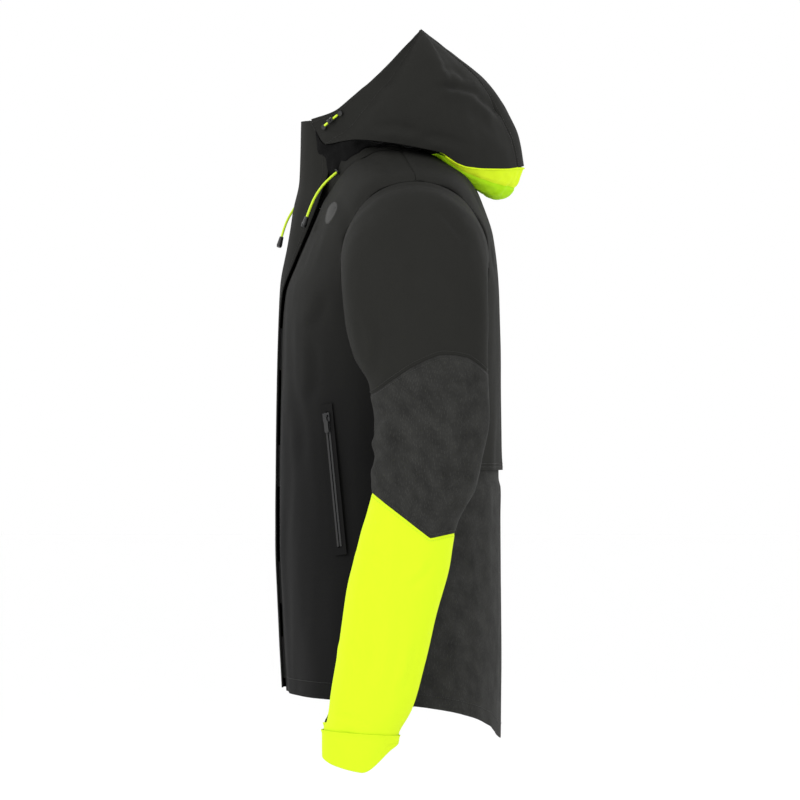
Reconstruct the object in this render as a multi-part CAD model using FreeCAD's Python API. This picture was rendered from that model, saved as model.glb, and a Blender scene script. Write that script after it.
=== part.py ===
import FreeCAD, Part
import bisect
import math
import os

from FreeCAD import Vector

# A hooded rain jacket with hi-vis sleeves, in its worn shape. Millimetres.
# +X is the wearer's left, -Y the front, +Z up. The origin is the centre of the neck opening.

# ---- driving dimensions ----
CLOTH = 1.6            # shell cloth with its backing
SEAM_GAP = 0.5         # between neighbouring panels
THIN = 0.8             # facings, tapes and linings

# Torso, as profiles over height: centre front, centre back and half width of the shell.
FRONT_Y = [(-690, -113), (-623, -119), (-528, -124), (-444, -127), (-348, -126.5), (-250, -125), (-192, -123.5),
           (-151, -120), (-111, -106), (-71, -89), (-48, -79), (-20, -66), (0, -55), (12, -47), (26, -38)]
BACK_Y = [(-690, 137), (-552, 140), (-396, 138.5), (-216, 138), (-156, 136.5), (-84, 129.5), (-35, 114),
          (-12, 102), (6, 85), (26, 62)]
HALF_W = [(-690, 228), (-623, 225), (-528, 217), (-444, 209), (-348, 203), (-250, 204), (-192, 206), (-140, 206),
          (-89, 204), (-48, 201), (-28, 197), (-12, 186), (0, 160), (12, 122), (26, 78)]
BACK_POWER = [(-690, 2.6), (-400, 2.8), (-250, 3.6), (-150, 4.2), (-60, 4.0), (0, 2.8), (26, 2.4)]
FRONT_POWER = 2.5
NECK_Z = [(0, -50), (20, -44), (35, -30), (50, -4), (65, 15), (80, 23.5), (100, 23.5), (120, 19), (150, 10), (180, 5)]
HEM_Z = [(0, -623), (40, -628), (95, -641), (130, -664), (155, -678), (180, -682)]
SIDE_SEAM = 95         # degrees round from centre front
YOKE_BOTTOM_Z = -360
BACK_TOP_Z = -346      # the lower back panel tucks up behind the yoke
CENTRE_EDGE = 5.5      # degrees: where the front panel meets the zip tape

# Armhole and sleeve.
ARM_Y, ARM_Z, ARM_R = 36, -108, 88
ARM_PLANE_X = 212
# Each sleeve ring: outer (x, z), inner (x, z), centre y, half depth, drop of the front edge.
SLEEVE_RINGS = [
    ((213.2, -20), (213.2, -196), 36, 88, 0), ((248, -27), (215, -200), 36, 87.5, 0),
    ((280, -52), (217, -205), 36, 87, 0), ((302, -92), (219, -212), 36.5, 86, 0),
    ((314, -140), (222, -224), 38, 85, 0), ((320, -195), (225, -243), 42, 80, 0),
    ((324, -250), (228, -268), 52, 70.5, 0), ((326, -300), (231, -304), 55, 68.7, 0),
    ((328, -345), (234, -345), 51, 64.7, 0), ((328, -385), (237, -385), 46, 62.4, 4),
    ((327, -430), (240, -430), 28.5, 58, 6), ((326, -485), (243, -485), 16.5, 60, 8),
    ((326, -545), (246, -545), 4, 57, 10), ((325, -605), (248, -605), -8, 55, 12),
    ((324, -650), (249, -650), -18, 51, 6), ((321, -676), (251, -672), -29, 45, -4),
    ((314, -719), (256, -694), -29, 44.5, -8)]
SLEEVE_POWER = 2.2
SLEEVE_FRONT_SEAM = -8     # degrees round the sleeve from its front edge
SLEEVE_BACK_SEAM = 188
ELBOW_Y, ELBOW_Z = 30, -330
ELBOW_BEND_MAX = 45
CUFF_RING = 15
CUFF_BACK_RISE = 32
# Seam heights on the outer sleeve against depth y.
YOKE_SEAM = [(-20, -272), (11, -251), (40, -233), (72, -222), (97, -225), (114, -235), (124, -245)]
CHEVRON = [(-20, -383), (-10, -390), (51, -437), (66, -437), (84, -432), (92, -424)]

# Hood: three edges of each side panel as (x, y, z): the rim, the strip seam and the lower edge.
HOOD_RIM = [(40, -89, 61), (62, -60, 71), (74, -38, 89), (79, -5, 118), (66, 20, 144), (44, 34, 159), (23, 43, 169)]
HOOD_SEAM = [(30, 160, 3), (29, 153, 35), (28, 139, 64), (26, 114, 107), (24, 73, 145), (23, 43.5, 169)]
HOOD_EDGE = [(40, -89, 61), (56, -70, 31), (84, -36, 36), (104, 7, 32), (110, 40, 26), (110, 67, 20), (102, 94, 4),
             (84, 119, 1), (56, 145, 1), (30, 160, 3)]
HOOD_BULGE = 9         # how far the middle of a side panel stands out
HOOD_STRIP_BULGE = [(0, 7), (0.35, 10), (0.6, 5), (0.85, 1.5), (1, 0.8)]
RIM_BAND = 0.12

# Collar: a standing tube inside the hood.
COLLAR_Y, COLLAR_HALF_DEPTH, COLLAR_HALF_W, COLLAR_TOP = -14, 77, 62, 57

# Storm flap: y of its outer face at the centre, and x and y of its free edge, over height.
FLAP_Y = [(-623, -124), (-528, -129), (-444, -132), (-348, -131.4), (-250, -130), (-192, -128.5), (-140, -126),
          (-89, -117), (-48, -110), (-12, -103), (58, -101)]
FLAP_FREE_X = [(-623, 34), (-200, 34), (-151, 36), (-111, 42), (-71, 50), (-35, 54), (0, 54), (28, 50), (46, 42),
               (58, 33)]
FLAP_FREE_Y = [(-623, -123), (-528, -128), (-444, -131), (-348, -130.5), (-250, -129), (-192, -127.5),
               (-151, -124.5), (-111, -110), (-71, -93), (-48, -83.5), (-20, -74), (0, -68), (28, -70), (46, -79),
               (58, -88)]
FLAP_SEWN_Y = [(-623, -123), (-528, -128), (-444, -131), (-348, -130.5), (-250, -129), (-192, -127.5),
               (-151, -124.5), (-111, -112), (-71, -97), (-48, -93), (-20, -91), (0, -90), (58, -91)]
FLAP_SEWN_X = -34
FLAP_THICK = 1.6

# Front zip: it lies on one long arc, so that its slider turns about the arc's centre.
ZIP_TOP = (-84, 56)
ZIP_BOTTOM = (-113, -616)
ZIP_BULGE = 16
TAPE_IN, TAPE_OUT = 2.6, 15
COIL_IN, COIL_OUT = 0.7, 3.2
TAPE_THICK, COIL_THICK = 0.8, 2.4
SLIDER_LEN, SLIDER_HALF_W, SLIDER_PLATE = 10, 4.6, 1.1
PULL_PIN_R, PULL_LEN = 0.7, 20

CORD_R = 1.5


# ---- small helpers ----
def profile(points):
    """A smooth function through the points, with no overshoot (Fritsch-Carlson slopes)."""
    points = sorted(points)
    xs = [p[0] for p in points]
    ys = [p[1] for p in points]
    steps = [(ys[i + 1] - ys[i]) / (xs[i + 1] - xs[i]) for i in range(len(xs) - 1)]
    slopes = [steps[0]]
    for a, b in zip(steps, steps[1:]):
        slopes.append(0 if a * b <= 0 else 2 * a * b / (a + b))
    slopes.append(steps[-1])

    def value(x):
        if x <= xs[0]:
            return ys[0] + slopes[0] * (x - xs[0])
        if x >= xs[-1]:
            return ys[-1] + slopes[-1] * (x - xs[-1])
        i = bisect.bisect_right(xs, x) - 1
        h = xs[i + 1] - xs[i]
        t = (x - xs[i]) / h
        return (ys[i] * (1 + 2 * t) * (1 - t) ** 2 + slopes[i] * h * t * (1 - t) ** 2
                + ys[i + 1] * t * t * (3 - 2 * t) + slopes[i + 1] * h * t * t * (t - 1))
    return value


def smooth(t):
    t = max(0.0, min(1.0, t))
    return t * t * (3 - 2 * t)


def lerp(a, b, t):
    return a + (b - a) * t


def span(a, b, n):
    return [lerp(a, b, i / (n - 1)) for i in range(n)]


def normal_at(surface, u, v, du, dv):
    along_u = surface(u + du, v) - surface(u - du, v)
    along_v = surface(u, v + dv) - surface(u, v - dv)
    return along_u.cross(along_v).normalize()


def offset(surface, away, depth, du=0.05, dv=0.05):
    """The surface moved by depth along its normal, turned to the side that away(point) gives, if any."""
    def moved(u, v):
        p = surface(u, v)
        n = normal_at(surface, u, v, du, dv)
        if away and n.dot(away(p)) < 0:
            n = n.negative()
        return p + n * depth
    return moved


def surface_through(grid):
    face = Part.BSplineSurface()
    face.interpolate(grid)
    return face


def panel(surface, us, v_span, away, thick=CLOTH, rows=9, du=0.05, dv=0.05, crowd=1.0):
    """One cloth panel: a closed solid between the surface and the same surface moved inwards.

    A crowd above 1 gathers the rows towards the top."""
    inner_surface = offset(surface, away, -thick, du, dv)
    outer_grid, inner_grid = [], []
    for u in us:
        low, high = v_span(u)
        vs = [lerp(low, high, 1 - (1 - t) ** crowd) for t in span(0, 1, rows)]
        outer_grid.append([surface(u, v) for v in vs])
        inner_grid.append([inner_surface(u, v) for v in vs])
    outer, inner = surface_through(outer_grid), surface_through(inner_grid)
    faces = [outer.toShape(), inner.toShape()]
    u0, u1, v0, v1 = outer.bounds()
    i0, i1, j0, j1 = inner.bounds()
    pairs = [(outer.uIso(u0), inner.uIso(i0)), (outer.uIso(u1), inner.uIso(i1)),
             (outer.vIso(v0), inner.vIso(j0)), (outer.vIso(v1), inner.vIso(j1))]
    faces += [Part.makeRuledSurface(a.toShape(), b.toShape(), 1) for a, b in pairs]
    shell = Part.Shell(faces)
    shell.sewShape()
    solid = Part.Solid(shell)
    if solid.Volume < 0:
        solid.reverse()
    return solid


def mirrored(shape):
    return shape.mirror(Vector(0, 0, 0), Vector(1, 0, 0))


def box(x0, y0, z0, x1, y1, z1):
    return Part.makeBox(x1 - x0, y1 - y0, z1 - z0, Vector(x0, y0, z0))


def solids_of(shape):
    return [s for s in shape.Solids if s.Volume > 0.01]


parts = {}


def keep(name, *shapes):
    found = [s for shape in shapes for s in solids_of(shape)]
    parts[name] = found[0] if len(found) == 1 else Part.makeCompound(found)


def keep_pair(name, *shapes):
    keep(name + "_left", *shapes)
    keep(name + "_right", *[mirrored(s) for s in shapes])


# ---- torso ----
front_y, back_y, half_w = profile(FRONT_Y), profile(BACK_Y), profile(HALF_W)
back_power, neck_z, hem_z = profile(BACK_POWER), profile(NECK_Z), profile(HEM_Z)


def round_angle(degrees):
    """The angle from centre front folded to 0..180, for profiles that are the same left and right."""
    return abs((degrees + 180) % 360 - 180)


def zip_arc():
    """Centre and radius of the arc through the zip's two ends with its bulge forward."""
    (ya, za), (yb, zb) = ZIP_TOP, ZIP_BOTTOM
    chord = math.hypot(ya - yb, za - zb)
    radius = (chord ** 2 / 4 + ZIP_BULGE ** 2) / (2 * ZIP_BULGE)
    ahead = Vector(0, -(za - zb) / chord, (ya - yb) / chord)
    middle = Vector(0, (ya + yb) / 2, (za + zb) / 2)
    return middle + ahead * (ZIP_BULGE - radius), radius


ARC_CENTRE, ARC_RADIUS = zip_arc()


def zip_y(z):
    return ARC_CENTRE.y - math.sqrt(ARC_RADIUS ** 2 - (z - ARC_CENTRE.z) ** 2)


def torso(degrees, z):
    """A point of the shell's outer face. The front dips to the zip beside the centre line."""
    a = math.radians(degrees)
    yc = (front_y(z) + back_y(z)) / 2
    depth = (back_y(z) - front_y(z)) / 2
    power = FRONT_POWER if math.cos(a) > 0 else back_power(z)
    r = (abs(math.sin(a) / half_w(z)) ** power + abs(math.cos(a) / depth) ** power) ** (-1 / power)
    x, y = r * math.sin(a), yc - r * math.cos(a)
    if math.cos(a) > 0:
        y += (zip_y(z) - front_y(z) + 1.5) * smooth((21 - abs(x)) / 10)
    return Vector(x, y, z)


def out_of_torso(p):
    return Vector(p.x, p.y - 8, 0)


def arm_cutter():
    return Part.makeCylinder(ARM_R, 170, Vector(90, ARM_Y, ARM_Z), Vector(1, 0, 0))


def front_panels():
    """Left and right fronts, from the zip to the side seam, with their armholes."""
    us = [CENTRE_EDGE, 7, 8.5, 10, 12, 15] + span(19, SIDE_SEAM - 0.15, 18)
    solid = panel(torso, us, lambda u: (hem_z(u), neck_z(u)), out_of_torso, rows=34, crowd=1.7)
    keep_pair("front_panel", solid.cut(arm_cutter()))


def back_panels():
    """The yoke, whose free lower edge laps over the reflective lower back."""
    us = span(SIDE_SEAM + 0.15, 360 - SIDE_SEAM - 0.15, 27)
    yoke = panel(offset(torso, out_of_torso, 0.8), us, lambda u: (YOKE_BOTTOM_Z, neck_z(round_angle(u))),
                 out_of_torso, rows=26, crowd=1.6)
    keep("back_yoke", yoke.cut(arm_cutter()).cut(mirrored(arm_cutter())))

    def tucked(u, z):
        p = torso(u, z)
        inwards = out_of_torso(p).normalize()
        return p - inwards * 3.2 * smooth((z - YOKE_BOTTOM_Z + 22) / 12)
    keep("lower_back_panel", panel(tucked, us, lambda u: (hem_z(round_angle(u)), BACK_TOP_Z), out_of_torso, rows=12))


def hem_facing():
    inner = offset(torso, out_of_torso, -CLOTH - 0.6)
    made = []
    for low, high in ((12, SIDE_SEAM - 1), (SIDE_SEAM + 1, 360 - SIDE_SEAM - 1)):
        made.append(panel(inner, span(low, high, 15), lambda u: (hem_z(round_angle(u)) + 1, hem_z(round_angle(u)) + 27),
                          out_of_torso, THIN, rows=4))
    keep("hem_facing", made[0], mirrored(made[0]), made[1])


def surface_x(y, z):
    """How far out the shell is at depth y and height z."""
    low, high = (2.0, 90.0) if y < torso(90, z).y else (90.0, 178.0)
    for _ in range(40):
        middle = (low + high) / 2
        if torso(middle, z).y < y:
            low = middle
        else:
            high = middle
    return torso(low, z).x


def armhole_bands():
    """The short tube of cloth between the armhole seam and the plane where the sleeve swivels."""
    def band(a, s):
        y = ARM_Y + (ARM_R - 0.3) * math.cos(math.radians(a))
        z = ARM_Z + (ARM_R - 0.3) * math.sin(math.radians(a))
        return Vector(lerp(surface_x(y, z) + 1.0, ARM_PLANE_X, s), y, z)

    def away(p):
        return Vector(0, p.y - ARM_Y, p.z - ARM_Z)
    halves = [panel(band, span(a + 0.2, a + 179.8, 13), lambda u: (0, 1), away, rows=3, dv=0.02) for a in (-90, 90)]
    keep_pair("armhole_band", *halves)


# ---- sleeves ----
def ring_profiles():
    columns = list(zip(*[(o[0], o[1], i[0], i[1], y, a, drop) for o, i, y, a, drop in SLEEVE_RINGS]))
    return [profile(list(enumerate(c))) for c in columns]


RING = ring_profiles()


def sleeve(degrees, k):
    """A point of the left sleeve: degrees round from the front edge over the outer side, k along the rings."""
    ox, oz, ix, iz, yc, half, drop = [f(k) for f in RING]
    a = math.radians(degrees)
    power = lerp(2.0, SLEEVE_POWER, smooth(k / 4))
    r = (abs(math.sin(a)) ** power + abs(math.cos(a)) ** power) ** (-1 / power)
    c, s = r * math.cos(a), r * math.sin(a)
    rise = CUFF_BACK_RISE * smooth(-c) * smooth(k - CUFF_RING)
    return Vector((ox + ix) / 2 + s * (ox - ix) / 2, yc - c * half, (oz + iz) / 2 + s * (oz - iz) / 2 - c * drop + rise)


def out_of_sleeve(p):
    """Roughly away from the sleeve's middle line."""
    k = min(range(len(SLEEVE_RINGS)), key=lambda i: (sleeve_middle(i) - p).Length)
    return p - sleeve_middle(k)


def sleeve_middle(k):
    ox, oz, ix, iz, yc, half, drop = [f(k) for f in RING]
    return Vector((ox + ix) / 2, yc, (oz + iz) / 2)


def ring_where(degrees, height, low=4.0, high=15.0):
    """The ring number at which the sleeve reaches a height that may depend on depth."""
    for _ in range(40):
        middle = (low + high) / 2
        p = sleeve(degrees, middle)
        if p.z > height(p.y):
            low = middle
        else:
            high = middle
    return low


def elbow_height(y):
    """The fold line of the elbow, and half the wedge that is left open before the hinge."""
    wedge = max(0.0, ELBOW_Y - y) * math.tan(math.radians(ELBOW_BEND_MAX / 2 + 1.5))
    return ELBOW_Z, wedge + 0.6


def sleeves():
    yoke_seam, chevron = profile(YOKE_SEAM), profile(CHEVRON)

    def cut_at(height, shift):
        return lambda u: ring_where(u, lambda y: height(y) + shift)

    def above_elbow(u):
        return ring_where(u, lambda y: ELBOW_Z + elbow_height(y)[1])

    def below_elbow(u):
        return ring_where(u, lambda y: ELBOW_Z - elbow_height(y)[1])

    outer = span(SLEEVE_FRONT_SEAM, SLEEVE_BACK_SEAM, 27)
    inner = span(SLEEVE_BACK_SEAM + 0.4, 360 + SLEEVE_FRONT_SEAM - 0.4, 23)
    top, chevron_top, chevron_low = cut_at(yoke_seam, SEAM_GAP / 2), cut_at(chevron, SEAM_GAP / 2), cut_at(chevron, -SEAM_GAP / 2)
    top_low = cut_at(yoke_seam, -SEAM_GAP / 2)

    def made(us, v_span, rows):
        return panel(sleeve, us, v_span, out_of_sleeve, rows=rows, du=0.5, dv=0.02)
    keep_pair("upper_sleeve", made(outer, lambda u: (0.0, top(u)), 17))
    keep_pair("elbow_panel_upper", made(outer, lambda u: (top_low(u), above_elbow(u)), 7))
    keep_pair("elbow_panel_lower", made(outer, lambda u: (below_elbow(u), chevron_top(u)), 7))
    keep_pair("forearm_panel", made(outer, lambda u: (chevron_low(u), CUFF_RING - 0.01), 15))
    keep_pair("under_sleeve_upper", made(inner, lambda u: (0.0, above_elbow(u)), 13))
    keep_pair("under_sleeve_lower", made(inner, lambda u: (below_elbow(u), CUFF_RING - 0.01), 13))
    last = len(SLEEVE_RINGS) - 1.0
    keep_pair("cuff", *[made(span(a + 0.2, a + 179.8, 9), lambda u: (CUFF_RING + 0.01, last), 6) for a in (0, 180)])


# ---- hood ----
def path_3d(points):
    """A smooth path over 0..1 by chord length."""
    along = [0.0]
    for a, b in zip(points, points[1:]):
        along.append(along[-1] + math.dist(a, b))
    axes = [profile([(d / along[-1], p[i]) for d, p in zip(along, points)]) for i in range(3)]
    return lambda t: Vector(*[f(t) for f in axes])


rim_path, seam_path, edge_path = path_3d(HOOD_RIM), path_3d(HOOD_SEAM), path_3d(HOOD_EDGE)
strip_bulge = profile(HOOD_STRIP_BULGE)


def hood(u, t):
    """The left side panel: u from the rim to the strip seam, t from the lower edge to the peak."""
    rim, seam, edge, peak = rim_path(t), seam_path(t), edge_path(u), (rim_path(1) + seam_path(1)) * 0.5
    sides = rim * (1 - u) + seam * u + edge * (1 - t) + peak * t
    corners = (rim_path(0) * (1 - u) + seam_path(0) * u) * (1 - t) + peak * t
    full = HOOD_BULGE * math.sin(math.pi * u) * math.sin(math.pi * t) ** 0.8
    return sides - corners + Vector(full, 0, full * 0.4)


def hood_strip(s, t):
    """The centre strip: s from -1 at the right seam to 1 at the left one."""
    seam = seam_path(t)
    out = strip_bulge(t) * (1 - abs(s) ** 2.2)
    return Vector(seam.x * s * 0.985, seam.y + out, seam.z + out * 0.35)


def out_of_hood(p):
    return p - Vector(0, 25, 45)


def hood_panels():
    made = panel(hood, span(0.002, 0.985, 15), lambda u: (0.003, 0.985), out_of_hood, rows=13, du=0.001, dv=0.002)
    keep_pair("hood_side", made)
    strip = panel(hood_strip, span(-0.97, 0.97, 9), lambda s: (0.004, 0.998), lambda p: Vector(0, 1, 0.6),
                  rows=13, du=0.01, dv=0.001)
    keep("hood_centre_strip", strip)
    inner = offset(hood, out_of_hood, -CLOTH - 1.2, 0.001, 0.002)
    band = panel(inner, span(0.006, RIM_BAND, 4), lambda u: (0.03, 0.9), out_of_hood, THIN, rows=11, du=0.001,
                 dv=0.002)
    keep("rim_tunnel", band, mirrored(band))


def hood_gusset():
    """The hi-vis gutter between the hood's lower back edge and the neck seam, behind the neck."""
    side = [p for p in HOOD_EDGE if p[1] > 60]
    top_path = path_3d([(-x, y, z) for x, y, z in side] + [(0, 167, 3)] + side[::-1])

    def gutter(s, v):
        top = top_path((1 + s) / 2)
        full = math.cos(math.pi / 2 * s) ** 1.1
        angle = 180 - 66 * s
        seam = torso(angle, neck_z(round_angle(angle)) - 3)
        seam = seam + Vector(seam.x, seam.y - 8, 0).normalize() * 8
        start = top + Vector(0, 0, -3.5)
        control = (start + seam) * 0.5 + Vector(0, 12 * full, 0)
        control.z = lerp(min(start.z, seam.z) + 3, -74, full)
        return start * ((1 - v) ** 2) + control * (2 * v * (1 - v)) + seam * (v * v)
    keep("hood_gusset", panel(gutter, span(-0.84, 0.84, 27), lambda s: (0.0, 1.0), None, rows=9, du=0.01, dv=0.01))


# ---- collar ----
def collar(degrees, s):
    """The standing collar: s runs from the neck seam to the top edge."""
    a = math.radians(degrees)
    top = Vector(COLLAR_HALF_W * math.sin(a), COLLAR_Y - COLLAR_HALF_DEPTH * math.cos(a),
                 lerp(COLLAR_TOP, 46, smooth((degrees - 30) / 150)))
    low = torso(degrees, neck_z(degrees))
    low = low - Vector(low.x, low.y + 5, 0).normalize() * 8 + Vector(0, 0, 1)
    p = low * (1 - s) ** 2 + Vector(top.x, top.y, lerp(low.z, top.z, 0.3)) * (2 * s * (1 - s)) + top * s * s
    if degrees < 90:
        p.y += (zip_y(p.z) + 2.2 - p.y) * smooth((24 - abs(p.x)) / 11)
    return p


def collars():
    us = [7, 10, 13, 17, 22] + span(28, 179.6, 14)
    keep_pair("collar", panel(collar, us, lambda u: (0.0, 1.0), lambda p: Vector(p.x, p.y - COLLAR_Y, 0),
                              2.0, rows=7, du=0.2, dv=0.01))


def hanger_loop():
    """A strap sewn in at the inside back neck, open between its ends."""
    outer = Part.makeCylinder(26, 5, Vector(0, 62, 30), Vector(0, 1, 0))
    inner = Part.makeCylinder(24.4, 9, Vector(0, 60, 30), Vector(0, 1, 0))
    strap = outer.cut(inner).common(box(-40, 50, -20, 40, 80, 22))
    strap.translate(Vector(0, -5, 0))
    keep("hanger_loop", strap)


# ---- storm flap ----
flap_y, flap_free = profile(FLAP_Y), profile(FLAP_FREE_X)
flap_free_y, flap_sewn_y = profile(FLAP_FREE_Y), profile(FLAP_SEWN_Y)


def flap(x, z):
    """The flap's outer face: flat over the zip, falling back to the chest at both edges."""
    edge_x, edge_y = (flap_free(z), flap_free_y(z)) if x > 0 else (-FLAP_SEWN_X, flap_sewn_y(z))
    return Vector(x, lerp(flap_y(z), edge_y, (abs(x) / edge_x) ** 2.6), z)


def storm_flap():
    def at(s, z):
        return flap(lerp(FLAP_SEWN_X, flap_free(z), s), z)

    def forward(p):
        return Vector(0, -1, 0)
    keep("storm_flap", panel(at, span(0, 1, 9), lambda s: (-621, 57), forward, FLAP_THICK, rows=24))
    hooks, loops = [], []
    for top in (-190, -330, -470, -560):
        def face(x, z, back):
            p = flap(x, z)
            return p + Vector(0, back, 0)
        hooks.append(panel(lambda x, z: face(x, z, FLAP_THICK + 0.15), span(23, 32, 3), lambda x: (top - 50, top),
                           forward, 1.0, rows=3))
        loops.append(panel(lambda x, z: torso_at(x, z) + Vector(0, -1.25, 0), span(23, 32, 3),
                           lambda x: (top - 50, top), forward, 1.0, rows=3))
    keep("flap_hook_patches", *hooks)
    keep("flap_loop_patches", *loops)


def torso_at(x, z):
    """The front of the shell at a sideways distance x."""
    low, high = 0.0, 60.0
    for _ in range(40):
        middle = (low + high) / 2
        if torso(middle, z).x < x:
            low = middle
        else:
            high = middle
    return torso(low, z)


# ---- zips ----
def lengthways(half, thick, length, x_in):
    """A bar of rectangular section: x from x_in to half, y centred, z from 0 down to -length."""
    return box(x_in, -thick / 2, -length, half, thick / 2, 0)


def slider_and_pull():
    """A slider on the line x = 0, y = 0, with its face towards -Y, and its hanging pull. Top at z = 0."""
    plate = SLIDER_PLATE
    gap = COIL_THICK / 2 + 0.35
    body = box(-SLIDER_HALF_W, -gap - plate, -SLIDER_LEN, SLIDER_HALF_W, -gap, 0)
    body = body.fuse(box(-SLIDER_HALF_W, gap, -SLIDER_LEN, SLIDER_HALF_W, gap + plate, 0))
    body = body.fuse(box(-0.35, -gap - 0.2, -3.4, 0.35, gap + 0.2, 0))
    for side in (-1, 1):
        wall = box(-0.5, -gap - 0.1, -SLIDER_LEN, 0.5, -TAPE_THICK / 2 - 0.35, 0)
        wall.translate(Vector(side * (SLIDER_HALF_W - 0.5), 0, 0))
        body = body.fuse(wall)
        ear = box(-0.5, -gap - plate - 2.3, -4.6, 0.5, -gap - plate + 0.1, -2.2)
        ear.translate(Vector(side * 2.0, 0, 0))
        body = body.fuse(ear)
    pin_y, pin_z = -gap - plate - 1.35, -3.4
    body = body.fuse(Part.makeCylinder(PULL_PIN_R, 4.4, Vector(-2.2, pin_y, pin_z), Vector(1, 0, 0)))
    eye = Part.makeCylinder(1.2, 2.6, Vector(-1.3, pin_y, pin_z), Vector(1, 0, 0))
    eye = eye.cut(Part.makeCylinder(PULL_PIN_R + 0.1, 4, Vector(-2, pin_y, pin_z), Vector(1, 0, 0)))
    stem = box(-1.3, pin_y - 0.5, pin_z - 6, 1.3, pin_y + 0.5, pin_z - 1.0)
    tab = box(-2.8, pin_y - 0.6, pin_z - PULL_LEN, 2.8, pin_y + 0.6, pin_z - 5.5)
    tab = tab.makeFillet(1.3, [e for e in tab.Edges if abs(e.tangentAt(e.FirstParameter).y) > 0.9])
    return body.removeSplitter(), eye.fuse([stem, tab]).removeSplitter(), Vector(0, pin_y, pin_z)


def arc_angle(z):
    """Angle below the arc's centre line of the zip's point at height z, in degrees."""
    return math.degrees(math.asin((ARC_CENTRE.z - z) / ARC_RADIUS))


def on_arc(shape, z):
    """Moves a shape from the line x = 0, y = 0 to the zip's arc at height z."""
    angle = arc_angle(z)
    place = FreeCAD.Placement(Vector(0, 0, 0), FreeCAD.Rotation(Vector(1, 0, 0), angle))
    moved = shape.copy()
    moved.Placement = place
    moved.translate(Vector(0, zip_y(z), z))
    return moved


def arc_bar(x0, x1, thick, z_low, z_high):
    """A bar of rectangular section that follows the zip's arc."""
    face = Part.makePlane(x1 - x0, thick, Vector(x0, 0, 0), Vector(0, 0, 1))
    face.translate(Vector(0, -ARC_RADIUS - thick / 2, 0))
    face.rotate(Vector(0, 0, 0), Vector(1, 0, 0), arc_angle(z_high))
    face.translate(ARC_CENTRE)
    return face.revolve(ARC_CENTRE, Vector(1, 0, 0), arc_angle(z_low) - arc_angle(z_high))


SLIDER_REST_Z = 54
SLIDER_END_Z = -596


def front_zip():
    keep_pair("zip_tape", arc_bar(TAPE_IN, TAPE_OUT - 3, TAPE_THICK, -612, 52).cut(
        arc_bar(COIL_IN - 0.2, COIL_OUT + 0.1, COIL_THICK + 0.1, -606, 53)))
    keep_pair("zip_coil", arc_bar(COIL_IN, COIL_OUT, COIL_THICK, -604, 50))
    body, pull, pin = slider_and_pull()
    keep("zip_slider", on_arc(body, SLIDER_REST_Z))
    keep("zip_pull", on_arc(pull, SLIDER_REST_Z))
    stop = arc_bar(0.9, 3.4, COIL_THICK + 1.0, -611.5, -605.8)
    keep("zip_bottom_stop", stop, mirrored(stop))
    print("front zip: arc centre", ARC_CENTRE, "pull pin", on_arc(Part.Vertex(pin), SLIDER_REST_Z).Point,
          "travel", arc_angle(SLIDER_END_Z) - arc_angle(SLIDER_REST_Z), "degrees")


# ---- hand pockets ----
POCKET_TOP_Y, POCKET_TOP_Z = -68, -290
POCKET_LOW_Y, POCKET_LOW_Z = -52, -452
POCKET_LIFT = 3.1


def pocket_frame():
    """Placement that carries the line x = 0, y = 0 (face towards -Y) onto the left pocket's opening."""
    top = Vector(surface_x(POCKET_TOP_Y, POCKET_TOP_Z), POCKET_TOP_Y, POCKET_TOP_Z)
    low = Vector(surface_x(POCKET_LOW_Y, POCKET_LOW_Z), POCKET_LOW_Y, POCKET_LOW_Z)
    middle_y, middle_z = (POCKET_TOP_Y + POCKET_LOW_Y) / 2, (POCKET_TOP_Z + POCKET_LOW_Z) / 2
    step = 6
    ahead = Vector(surface_x(middle_y - step, middle_z), middle_y - step, 0)
    behind = Vector(surface_x(middle_y + step, middle_z), middle_y + step, 0)
    up = (top - low).normalize()
    across = (ahead - behind).normalize()
    outwards = across.cross(up)
    if outwards.x < 0:
        outwards = outwards.negative()
    outwards = outwards.normalize()
    side = (outwards.negative()).cross(up).normalize()
    rotation = FreeCAD.Rotation(side, outwards.negative(), up, "YZX")
    return FreeCAD.Placement(top + outwards * POCKET_LIFT, rotation), outwards, up, (top - low).Length


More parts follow.
